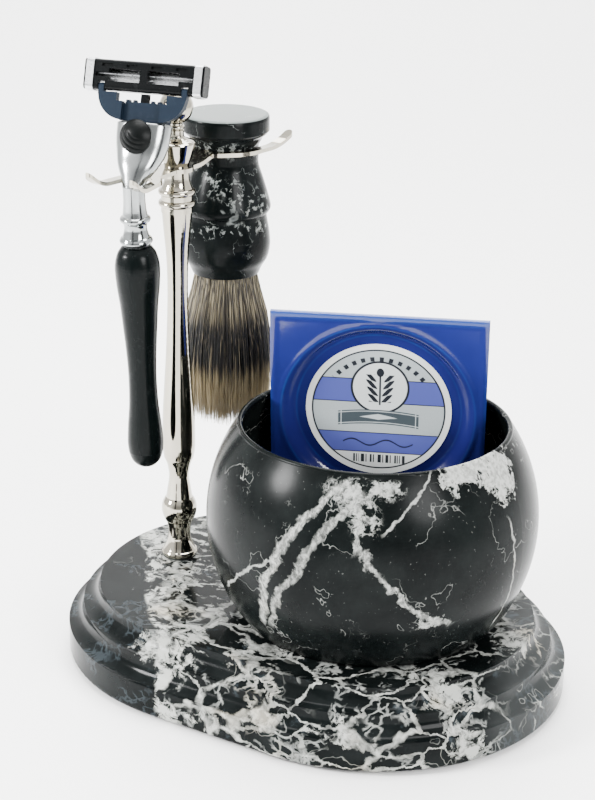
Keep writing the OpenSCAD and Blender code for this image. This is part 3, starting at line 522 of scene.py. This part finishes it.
def hair_color(name, dim):
    """Badger hair: cream with dark streaks at the root, a black band, tan at the tips, and mixed towards
    black by dim as painted shade.
    """
    g = Finish(name)
    p = g.place()
    centre = BRUSH.translation * 1000
    q = g.vector("SUBTRACT", p, tuple(centre))
    z = g.along(q, (0, 0, 1))
    spread = 1.0 + (HAIR_TOP - z).step(0.0, 32.0) * 0.5
    flat = g.vector("MULTIPLY", q, (1.0, 1.0, 0.0))
    ray = g.scaled(flat, 1.0 / spread)
    strand = g.vector("ADD", ray, g.vector("MULTIPLY", q, (0, 0, 0.02)))
    streak = g.noise(strand, 0.42, 2.0, 0.6)
    tuft = g.noise(ray, 1.8, 2.0)
    depth = HAIR_TOP - z + (tuft - 0.5) * 16.0 + (streak - 0.5) * 14.0
    band = depth.step(11.0, 18.0) * (1.0 - depth.step(29.0, 37.0))
    root = g.mix(streak.step(0.44, 0.64), rgb(0.03, 0.025, 0.018), rgb(0.3, 0.255, 0.16))
    tip = g.mix(streak.step(0.3, 0.7), rgb(0.13, 0.1, 0.055), rgb(0.42, 0.34, 0.2))
    tone = g.mix(depth.step(16.0, 30.0), root, tip)
    black = g.mix(streak.step(0.56, 0.68), rgb(0.006, 0.006, 0.006), rgb(0.2, 0.165, 0.11))
    color = g.mix(band, tone, black)
    # painted shade: dim mixes the colour towards black, for the shaded inside of the knot
    color = g.mix(dim, color, rgb(0.008, 0.007, 0.006))
    g.bump(streak, 0.35, 0.0004)
    return g.finish(color, streak * 0.15 + 0.38)


def floor_paint(tone):
    g = Finish("floor")
    grain = g.noise(g.place(), 3.0, 3.0)
    color = g.mix(grain * 0.5, rgb(tone, tone, tone * 0.995), rgb(tone * 0.97, tone * 0.97, tone * 0.965))
    return g.finish(color, grain * 0.05 + 0.6)


def black_card():
    g = Finish("black card")
    weave = g.noise(g.place(), 4.0, 2.0)
    return g.finish(g.mix(weave, rgb(0.004, 0.004, 0.005), rgb(0.012, 0.012, 0.014)), weave * 0.05 + 0.85)


# ---------------------------------------------------------------- mesh pieces

def curve_point(points, t):
    """A smooth curve through rows of numbers; t runs from 0 to 1."""
    last = len(points) - 1
    i = min(int(t * last), last - 1)
    f = t * last - i
    a, b, c, d = (points[min(max(k, 0), last)] for k in (i - 1, i, i + 1, i + 2))
    return [
        0.5 * (2 * q + (r - p) * f + (2 * p - 5 * q + 4 * r - s) * f * f + (3 * q - p - 3 * r + s) * f ** 3)
        for p, q, r, s in zip(a, b, c, d)
    ]


def soft(a, b, x):
    """Soft step from 0 at a to 1 at b."""
    t = min(max((x - a) / (b - a), 0.0), 1.0)
    return t * t * (3 - 2 * t)


def make(name, verts, faces, material, body, nodes=(), matrix=Matrix.Identity(4), smooth=True):
    """A mesh from points in millimetres, placed, painted and put on its body."""
    data = bpy.data.meshes.new(name)
    data.from_pydata([matrix @ (Vector(v) * MM) for v in verts], [], faces)
    data.validate()
    data.materials.append(material)
    if smooth:
        data.shade_smooth()
    piece = bpy.data.objects.new(name, data)
    bpy.context.scene.collection.objects.link(piece)
    if nodes:
        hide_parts(*nodes)
    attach(piece, body)
    return piece


def circle(count):
    """Points round a circle of radius 1."""
    turns = [2 * math.pi * i / count for i in range(count)]
    return [(math.cos(a), math.sin(a)) for a in turns]


def tube(rings):
    """Points and faces of a closed skin over rings that all have the same number of points."""
    n = len(rings[0])
    verts = [v for ring in rings for v in ring]
    faces = [
        (k * n + i, k * n + (i + 1) % n, (k + 1) * n + (i + 1) % n, (k + 1) * n + i)
        for k in range(len(rings) - 1) for i in range(n)
    ]
    faces.append(tuple(range(n - 1, -1, -1)))
    faces.append(tuple(range((len(rings) - 1) * n, len(rings) * n)))
    return verts, faces


def oval_ring(y, z, half_w, half_d, tilt, segments, power=2.35):
    """A rounded oval across the razor's axis, tilted back."""
    ring = []
    lean = math.radians(tilt)
    for c, s in circle(segments):
        u = half_w * math.copysign(abs(c) ** (2 / power), c)
        v = half_d * math.copysign(abs(s) ** (2 / power), s)
        ring.append((u, y + v * math.cos(lean), z - v * math.sin(lean)))
    return ring


def build_cup(segments, material):
    """The cup: its skin along the bend, its rim, and the hollow that holds the yoke and the plunger."""
    stations = [
        (0, -2.2, 3.5, 3.5, 0), (1.4, -0.4, 4.2, 4.0, 8), (4.0, 2.8, 6.3, 5.0, 15),
        (6.6, 5.9, 7.7, 5.45, HEAD_TILT), (8.7, 10.0, 8.6, 5.75, HEAD_TILT),
        (10.75, 14.45, 8.9, 5.8, HEAD_TILT),
    ]
    steps = 40
    rings = [oval_ring(*curve_point(stations, k / steps), segments) for k in range(steps + 1)]
    mouth = [
        (0, 0, 8.75, 5.65, 2.35), (0, 0, 8.1, 4.9, 2.35), (0.1, 0.3, 7.8, 4.6, 2.35),
        (1.5, 3.9, 7.2, 4.2, 3.5), (4.1, 10.7, 5.6, 2.9, 6.0),
    ]
    for back, down, half_w, half_d, power in mouth:
        rings.append(oval_ring(HEAD_Y - back, HEAD_Z - down, half_w, half_d, HEAD_TILT, segments, power))
    verts, faces = tube(rings)
    make("cup_shell", verts, faces, material, "razor", ["razor_cup"], RAZOR)


def build_button(ridge, material):
    """A domed thumb button with curved grip ridges and a rounded skirt."""
    rings = []
    around, radius, rise, edge = circle(72), 5.2, 2.4, -6.95
    steps = 24
    for k in range(1, steps + 1):
        r = radius * k / steps
        ring = []
        for c, s in around:
            x, z = r * c, r * s
            dome = rise * (1 - (r / radius) ** 2.2)
            arc = math.hypot(x - 1.6, z - 2.2)
            grip = max(0.0, math.sin(arc * 4.4)) ** 0.7 * soft(2.0, 2.7, arc) * (1 - soft(4.3, 4.9, r))
            dome -= ridge * grip * soft(0.5, -1.0, z * 0.5 + x * 0.3)
            ring.append((x, edge - dome, z - BUTTON_DROP))
        rings.append(ring)
    for depth, r in ((-6.8, radius + 0.12), (-6.35, radius + 0.1), (-5.95, radius - 0.3)):
        rings.append([(r * c, depth, r * s - BUTTON_DROP) for c, s in around])
    verts, faces = tube(rings)
    make("thumb_button", verts, faces, material, "release", ["release_button"], HEAD)


def pack_relief(x, z, side, depth):
    """Depth of the pack's skin: a round dish in its front, or the round cup at its back."""
    r = math.hypot(x, z)
    edge = max(abs(x), abs(z))
    lip = 0.35 * (soft(32.6, 33.4, edge) - soft(34.2, PACK_HALF, edge) * 1.4)
    if side < 0:
        ring = soft(31.0, 31.7, r) - soft(32.2, 33.0, r)
        return depth * (1 - soft(27.0, 31.2, r)) - lip * 0.6 - 0.35 * ring
    return 1.8 + depth * (1 - soft(26.3, 32.2, r)) + lip * 0.3


def build_pack(name, side, depth, divisions, material, node):
    """One thermoformed shell: a fine grid pressed into shape, with its own thickness."""
    n = divisions
    ticks = [-PACK_HALF + 2 * PACK_HALF * i / n for i in range(n + 1)]
    grid = [(x, z) for z in ticks for x in ticks]
    wall = -0.8 * side
    outer = [(x, pack_relief(x, z, side, depth), z) for x, z in grid]
    inner = [(x * 0.999, y + wall, z * 0.999) for x, y, z in outer]
    count = len(grid)
    faces = []
    for k in range(n):
        for i in range(n):
            a = k * (n + 1) + i
            quad = (a, a + 1, a + n + 2, a + n + 1)
            faces.append(quad if side < 0 else quad[::-1])
            back = tuple(q + count for q in quad)
            faces.append(back[::-1] if side < 0 else back)
    rim = list(range(n + 1))
    rim += [k * (n + 1) + n for k in range(1, n + 1)]
    rim += [n * (n + 1) + i for i in range(n - 1, -1, -1)]
    rim += [k * (n + 1) for k in range(n - 1, 0, -1)]
    for a, b in zip(rim, rim[1:] + rim[:1]):
        quad = (b, a, a + count, b + count)
        faces.append(quad if side < 0 else quad[::-1])
    piece = make(name, outer + inner, faces, material, "soap_pack", [node], PACK)
    piece.data.set_sharp_from_angle(angle=math.radians(50))


def knot_radius(depth):
    """Radius of the fanned hair at a depth under the handle."""
    rows = [(0, 10.2), (7, 11.9), (15.5, 14), (24, 15.1), (33, 15.9), (42, 15.6), (52, 15.2)]
    for (a, r), (b, s) in zip(rows, rows[1:]):
        if depth <= b:
            return r + (s - r) * soft(a, b, depth)
    return rows[-1][1]


def build_hair(count, seed, width, materials):
    """A core painted dark as the shade inside the knot, and many tapered strands that fan out and end in a
    dome.
    """
    strand, core = materials
    rng = random.Random(seed)
    verts, faces = [], []
    steps = 7
    for _ in range(count):
        out = rng.random() ** 0.34
        angle = rng.uniform(0, 2 * math.pi)
        length = 53.0 - 8.5 * out ** 3 + rng.gauss(0, 1.0)
        drift = rng.gauss(0, 0.035)
        flare = rng.gauss(0, 0.025)
        start = len(verts)
        for k in range(steps):
            t = k / (steps - 1)
            depth = -0.5 + (length + 0.5) * t
            r = out * knot_radius(max(depth, 0)) * (1 + flare * t)
            a = angle + drift * t
            c = Vector((r * math.cos(a), r * math.sin(a), HAIR_TOP - depth))
            w = width * (1 - 0.75 * t ** 3)
            for j in range(3):
                b = a + 2 * math.pi * j / 3
                verts.append((c.x + w * math.cos(b), c.y + w * math.sin(b), c.z))
        for k in range(steps - 1):
            for j in range(3):
                p, q = start + 3 * k + j, start + 3 * k + (j + 1) % 3
                faces.append((p, p + 3, q + 3, q))
        tail = start + 3 * (steps - 1)
        faces.append((tail, tail + 1, tail + 2))
    make("hair_strands", verts, faces, strand, "brush", ["hair_knot"], BRUSH)
    rings = []
    for depth in (0.2, 6, 12, 18, 24, 30, 36, 41, 45, 47.5):
        r = 0.9 * knot_radius(depth) * math.sqrt(max(0.02, 1 - (depth / 49) ** 8))
        rings.append([(r * c, r * s, HAIR_TOP - depth) for c, s in circle(48)])
    verts, faces = tube(rings)
    make("hair_core", verts, [f[::-1] for f in faces], core, "brush", (), BRUSH)


def build_yoke_tabs(material):
    """Low rounded teeth along the yoke's upper edge, under the blade housing."""
    y, z, half_d = -2.2, 6.2, 0.75
    corners = [
        (0.8, -1), (1, -0.75), (1, 0.75), (0.8, 1), (-0.8, 1), (-1, 0.75), (-1, -0.75), (-0.8, -1),
    ]
    verts, faces = [], []
    for x, w in ((-5.3, 1.5), (-3.0, 1.2), (3.0, 1.2), (5.3, 1.5)):
        rings = [
            [(x + u * w / 2 * share, y + v * half_d * share, z + rise) for u, v in corners]
            for rise, share in ((-0.4, 1.0), (0.45, 1.0), (0.7, 0.86), (0.78, 0.6))
        ]
        tab_verts, tab_faces = tube(rings)
        faces += [tuple(i + len(verts) for i in face) for face in tab_faces]
        verts += tab_verts
    make("yoke_tabs", verts, faces, material, "head", (), HEAD, smooth=False)


def paint(material, *names):
    """Give pieces of the frame a material in place of their own."""
    for name in names:
        NODES[name].data.materials.clear()
        NODES[name].data.materials.append(material)


def polish(*names, angle=32):
    """Smooth shading with crisp edges on the frame's own pieces."""
    for name in names:
        NODES[name].data.shade_smooth()
        NODES[name].data.set_sharp_from_angle(angle=math.radians(angle))


# ---------------------------------------------------------------- settings

class StoneSettings(bpy.types.PropertyGroup):
    base_veins: bpy.props.FloatProperty(
        name="Base veins", description="Strength of the pale stone in the base", subtype="FACTOR",
        default=1.0, min=0.0, max=1.5)
    bowl_veins: bpy.props.FloatProperty(
        name="Bowl veins", description="Strength of the veins in the bowl", subtype="FACTOR",
        default=1.0, min=0.0, max=1.5)
    brush_veins: bpy.props.FloatProperty(
        name="Brush veins", description="Strength of the veins in the brush handle", subtype="FACTOR",
        default=1.0, min=0.0, max=1.5)


class MetalSettings(bpy.types.PropertyGroup):
    nickel: bpy.props.FloatVectorProperty(
        name="Nickel", description="Colour of the post's plating", subtype="COLOR", size=4,
        default=(0.37, 0.345, 0.285, 1.0))
    chrome: bpy.props.FloatVectorProperty(
        name="Chrome", description="Colour of the razor's plating", subtype="COLOR", size=4,
        default=(0.29, 0.305, 0.305, 1.0))
    roughness: bpy.props.FloatProperty(
        name="Roughness", description="Least roughness of the plating", subtype="FACTOR",
        default=0.035, min=0.0, max=0.5)


class RazorSettings(bpy.types.PropertyGroup):
    segments: bpy.props.IntProperty(
        name="Segments", description="Points round the cup", default=72, min=24, max=128)
    ridge: bpy.props.FloatProperty(
        name="Grip ridges", description="Depth of the button's grip ridges in millimetres",
        default=0.42, min=0.0, max=0.8)


class BrushSettings(bpy.types.PropertyGroup):
    strands: bpy.props.IntProperty(
        name="Strands", description="Number of strands in the knot", default=3200, min=200, max=6000)
    seed: bpy.props.IntProperty(
        name="Seed", description="Seed of the strands' places", default=7, min=0, max=1000)
    width: bpy.props.FloatProperty(
        name="Strand width", description="Half width of a strand in millimetres",
        default=0.145, min=0.05, max=0.4)


class PackSettings(bpy.types.PropertyGroup):
    divisions: bpy.props.IntProperty(
        name="Divisions", description="Grid divisions of each shell", default=80, min=20, max=160)
    clear: bpy.props.FloatProperty(
        name="Clearness", description="How much light goes through the plastic", subtype="FACTOR",
        default=0.06, min=0.0, max=1.0)


class StageSettings(bpy.types.PropertyGroup):
    floor_tone: bpy.props.FloatProperty(
        name="Floor tone", description="Brightness of the floor", subtype="FACTOR",
        default=0.97, min=0.1, max=1.0)
    power: bpy.props.FloatProperty(
        name="Lights", description="Power that all the lamps are scaled by", unit="POWER",
        default=17.0, min=0.0, max=100.0)
    lens: bpy.props.FloatProperty(
        name="Lens", description="Focal length", unit="CAMERA", default=89.5, min=20.0, max=200.0)
    camera: bpy.props.FloatVectorProperty(
        name="Camera", description="Place of the camera", subtype="TRANSLATION", unit="LENGTH",
        default=(0.3036, -0.5102, 0.3183))
    target: bpy.props.FloatVectorProperty(
        name="Target", description="Point the camera looks at", subtype="TRANSLATION", unit="LENGTH",
        default=(-0.00737, 0.0, 0.09077))


class ShavingSettings(bpy.types.PropertyGroup):
    stone: bpy.props.PointerProperty(type=StoneSettings)
    metal: bpy.props.PointerProperty(type=MetalSettings)
    razor: bpy.props.PointerProperty(type=RazorSettings)
    brush: bpy.props.PointerProperty(type=BrushSettings)
    pack: bpy.props.PointerProperty(type=PackSettings)
    stage: bpy.props.PointerProperty(type=StageSettings)


# ---------------------------------------------------------------- operators

class SHAVING_OT_base(bpy.types.Operator):
    """Finish the stone base and its felt"""
    bl_idname = "shaving.base"
    bl_label = "Base"

    def execute(self, context):
        s = context.scene.shaving.stone
        paint(base_stone(s.base_veins), "base_slab")
        paint(felt_cloth(), "base_pad", "post_felt", "bowl_felt")
        polish("base_slab", "base_pad", angle=25)
        return {"FINISHED"}


class SHAVING_OT_post(bpy.types.Operator):
    """Finish the turned post, the hanger and the hidden rod"""
    bl_idname = "shaving.post"
    bl_label = "Post"

    def execute(self, context):
        s = context.scene.shaving.metal
        nickel = metal("nickel", tuple(s.nickel), s.roughness)
        turned = ("post_foot", "post_column", "ring_collar", "urn", "finial_neck", "finial_ball")
        paint(nickel, "hanger_bracket", *turned)
        polish("hanger_bracket", *turned)
        paint(steel(), "tie_rod", "rod_washer", "rod_nut")
        polish("tie_rod", "rod_washer", "rod_nut")
        return {"FINISHED"}


class SHAVING_OT_bowl(bpy.types.Operator):
    """Finish the stone bowl"""
    bl_idname = "shaving.bowl"
    bl_label = "Bowl"

    def execute(self, context):
        paint(bowl_stone(context.scene.shaving.stone.bowl_veins), "bowl")
        polish("bowl")
        return {"FINISHED"}


class SHAVING_OT_pack(bpy.types.Operator):
    """Build the soap pack's two shells and print its label"""
    bl_idname = "shaving.pack"
    bl_label = "Soap pack"

    def execute(self, context):
        s = context.scene.shaving.pack
        blue = soap_plastic(s.clear)
        build_pack("pack_front", -1, 3.5, s.divisions, blue, "soap_tray")
        build_pack("pack_back", 1, 10.2, s.divisions, blue, "soap_back")
        paint(soap_bar(), "soap_puck")
        paint(label_print(), "soap_label")
        return {"FINISHED"}


class SHAVING_OT_razor(bpy.types.Operator):
    """Build the cup and button, and finish the razor's handle"""
    bl_idname = "shaving.razor"
    bl_label = "Razor"

    def execute(self, context):
        s = context.scene.shaving
        color = tuple(s.metal.chrome)
        satin = metal("satin chrome", color, s.metal.roughness + 0.13, 0.08)
        build_cup(s.razor.segments, satin)
        rubber = plastic("button plastic", rgb(0.002, 0.0025, 0.0025), 0.32, 0.25, 0.15)
        build_button(s.razor.ridge, rubber)
        paint(metal("chrome", color, s.metal.roughness + 0.05), "razor_ferrule", "razor_neck")
        gloss = plastic("black lacquer", rgb(0.0015, 0.0025, 0.0025), 0.2, 3.0, 0.02)
        paint(gloss, "razor_handle")
        paint(steel(), "razor_stud", "button_spring")
        polish("razor_ferrule", "razor_neck", "razor_handle", "razor_stud", "button_spring")
        return {"FINISHED"}


class SHAVING_OT_head(bpy.types.Operator):
    """Finish the cartridge and its yoke"""
    bl_idname = "shaving.head"
    bl_label = "Cartridge"

    def execute(self, context):
        slate = plastic("slate plastic", rgb(0.006, 0.0105, 0.018), 0.3, 0.3, 0.12)
        black = plastic("housing plastic", rgb(0.0016, 0.002, 0.0022), 0.24, 0.3, 0.08)
        fins = plastic("fin rubber", rgb(0.015, 0.016, 0.018), 0.6, 0.2, 0.3)
        glide = plastic("glide strip", rgb(0.18, 0.36, 0.33), 0.5, 0.5, 0.2)
        paint(slate, "yoke", "release_plunger")
        paint(black, "blade_housing", "pivot_tongue")
        paint(steel(), "blades", "end_clips")
        paint(fins, "guard_strip")
        paint(glide, "glide_strip")
        polish("yoke", "blade_housing", "end_clips")
        build_yoke_tabs(slate)
        return {"FINISHED"}


class SHAVING_OT_brush(bpy.types.Operator):
    """Build the hair and finish the stone handle"""
    bl_idname = "shaving.brush"
    bl_label = "Brush"

    def execute(self, context):
        s = context.scene.shaving
        paint(brush_stone(s.stone.brush_veins), "brush_handle")
        polish("brush_handle")
        paint(plastic("set glue", rgb(0.02, 0.013, 0.008), 0.4, 0.6, 0.3), "knot_plug")
        # the core's hair is painted dark as the shade inside the knot
        hair = (hair_color("hair", 0.0), hair_color("hair core painted shade", 0.72))
        build_hair(s.brush.strands, s.brush.seed, s.brush.width, hair)
        return {"FINISHED"}


class SHAVING_OT_stage(bpy.types.Operator):
    """Set the floor, the lights and the camera"""
    bl_idname = "shaving.stage"
    bl_label = "Stage"

    def execute(self, context):
        s = context.scene.shaving.stage
        scene = context.scene
        self.floor(s.floor_tone)
        self.cards()
        self.sky(scene)
        lamps = [
            ("key", (-0.62, -0.66, 0.5), (0.02, -0.02, 0.08), 0.26, 1.5),
            ("fill", (0.95, -0.35, 0.55), (0, 0, 0.08), 0.5, 1.1),
            ("top", (-0.1, 0.25, 1.1), (0, 0, 0.05), 0.9, 2.2),
            ("back", (-0.6, 0.95, 0.86), (-0.05, 0.03, 0.15), 0.75, 1.1),
        ]
        for name, place, target, size, share in lamps:
            self.lamp(name, place, target, size, s.power * share)
        self.camera(scene, s)
        return {"FINISHED"}

    def camera(self, scene, s):
        """A long lens above the front right, turned a little about its axis."""
        data = bpy.data.cameras.new("camera")
        data.lens = s.lens
        data.sensor_width = 36
        camera = bpy.data.objects.new("camera", data)
        place, target = Vector(s.camera), Vector(s.target)
        level = (target - place).to_track_quat("-Z", "Y").to_matrix().to_4x4()
        camera.matrix_world = Matrix.Translation(place) @ level @ turn(0.86, "Z")
        scene.collection.objects.link(camera)
        scene.camera = camera

    def floor(self, tone):
        """A broad sheet that curves up behind the object."""
        level, back, bend, far, half_w = -0.2, 700, 400, 1400, 2400
        turns = [a / 8 * math.pi / 2 for a in range(1, 9)]
        rows = [(-far, level), (0, level), (back, level)]
        rows += [(back + bend * math.sin(a), bend - (bend - level) * math.cos(a)) for a in turns]
        rows.append((back + bend, far))
        verts = [(x, y, z) for y, z in rows for x in (-half_w, half_w)]
        faces = [(2 * k, 2 * k + 1, 2 * k + 3, 2 * k + 2) for k in range(len(rows) - 1)]
        self.sheet("floor", verts, faces, floor_paint(tone), turn(31.4, "Z"))

    def cards(self):
        """Black cards that give the plated pieces their dark bands."""
        card = black_card()
        up = Vector((0, 0, 600))
        for name, x, y, half_w in (("card_left", 4, -416, 35), ("card_right", 600, 20, 130)):
            across = Vector((-y, x, 0)).normalized() * half_w
            foot = Vector((x, y, 0))
            verts = [foot - across, foot + across, foot + across + up, foot - across + up]
            self.sheet(name, verts, [(0, 1, 2, 3)], card, Matrix.Identity(4))

    def sheet(self, name, verts, faces, material, matrix):
        """A stage piece from points in millimetres."""
        data = bpy.data.meshes.new(name)
        data.from_pydata([matrix @ (Vector(v) * MM) for v in verts], [], faces)
        data.materials.append(material)
        data.shade_smooth()
        piece = bpy.data.objects.new(name, data)
        bpy.context.scene.collection.objects.link(piece)

    def sky(self, scene):
        """Pale all round, darker low down on the front side."""
        world = bpy.data.worlds.new("sky")
        world.use_nodes = True
        scene.world = world
        g = Graph(world.node_tree)
        way = g.node("ShaderNodeTexCoord", output=0)
        front = g.along(way, Vector((0.52, -0.85, 0.1)).normalized())
        high = g.along(way, (0, 0, 1))
        dim = front.step(0.55, 0.93) * (1.0 - high.step(0.35, 0.8))
        color = g.mix(dim, rgb(1.0, 1.0, 1.0), rgb(0.3, 0.3, 0.3))
        back = world.node_tree.nodes["Background"]
        g.plug(back.inputs["Color"], color)
        back.inputs["Strength"].default_value = 2.2

    def lamp(self, name, place, target, size, power):
        """A round softbox that faces its target."""
        data = bpy.data.lights.new(name, "AREA")
        data.shape = "DISK"
        data.size = size
        data.energy = power
        lamp = bpy.data.objects.new(name, data)
        lamp.location = place
        lamp.rotation_euler = (Vector(target) - Vector(place)).to_track_quat("-Z", "Y").to_euler()
        bpy.context.scene.collection.objects.link(lamp)


OPERATORS = (
    SHAVING_OT_base, SHAVING_OT_post, SHAVING_OT_bowl, SHAVING_OT_pack, SHAVING_OT_razor, SHAVING_OT_head,
    SHAVING_OT_brush, SHAVING_OT_stage,
)


class SHAVING_PT_panel(bpy.types.Panel):
    """Settings and steps of the shaving stand"""
    bl_idname = "SHAVING_PT_panel"
    bl_label = "Shaving stand"
    bl_space_type = "VIEW_3D"
    bl_region_type = "UI"
    bl_category = "Shaving"

    def draw(self, context):
        s = context.scene.shaving
        for group in (s.stone, s.metal, s.razor, s.brush, s.pack, s.stage):
            box = self.layout.box()
            for key in group.bl_rna.properties.keys():
                if key not in ("rna_type", "name"):
                    box.prop(group, key)
        for operator in OPERATORS:
            self.layout.operator(operator.bl_idname)


GROUPS = (
    StoneSettings, MetalSettings, RazorSettings, BrushSettings, PackSettings, StageSettings, ShavingSettings,
)
CLASSES = GROUPS + OPERATORS + (SHAVING_PT_panel,)


def register():
    for cls in CLASSES:
        bpy.utils.register_class(cls)
    bpy.types.Scene.shaving = bpy.props.PointerProperty(type=ShavingSettings)


def unregister():
    del bpy.types.Scene.shaving
    for cls in reversed(CLASSES):
        bpy.utils.unregister_class(cls)


def main():
    register()
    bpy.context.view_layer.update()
    bpy.ops.shaving.base()
    bpy.ops.shaving.post()
    bpy.ops.shaving.bowl()
    bpy.ops.shaving.pack()
    bpy.ops.shaving.razor()
    bpy.ops.shaving.head()
    bpy.ops.shaving.brush()
    bpy.ops.shaving.stage()


if __name__ == "__main__":
    main()
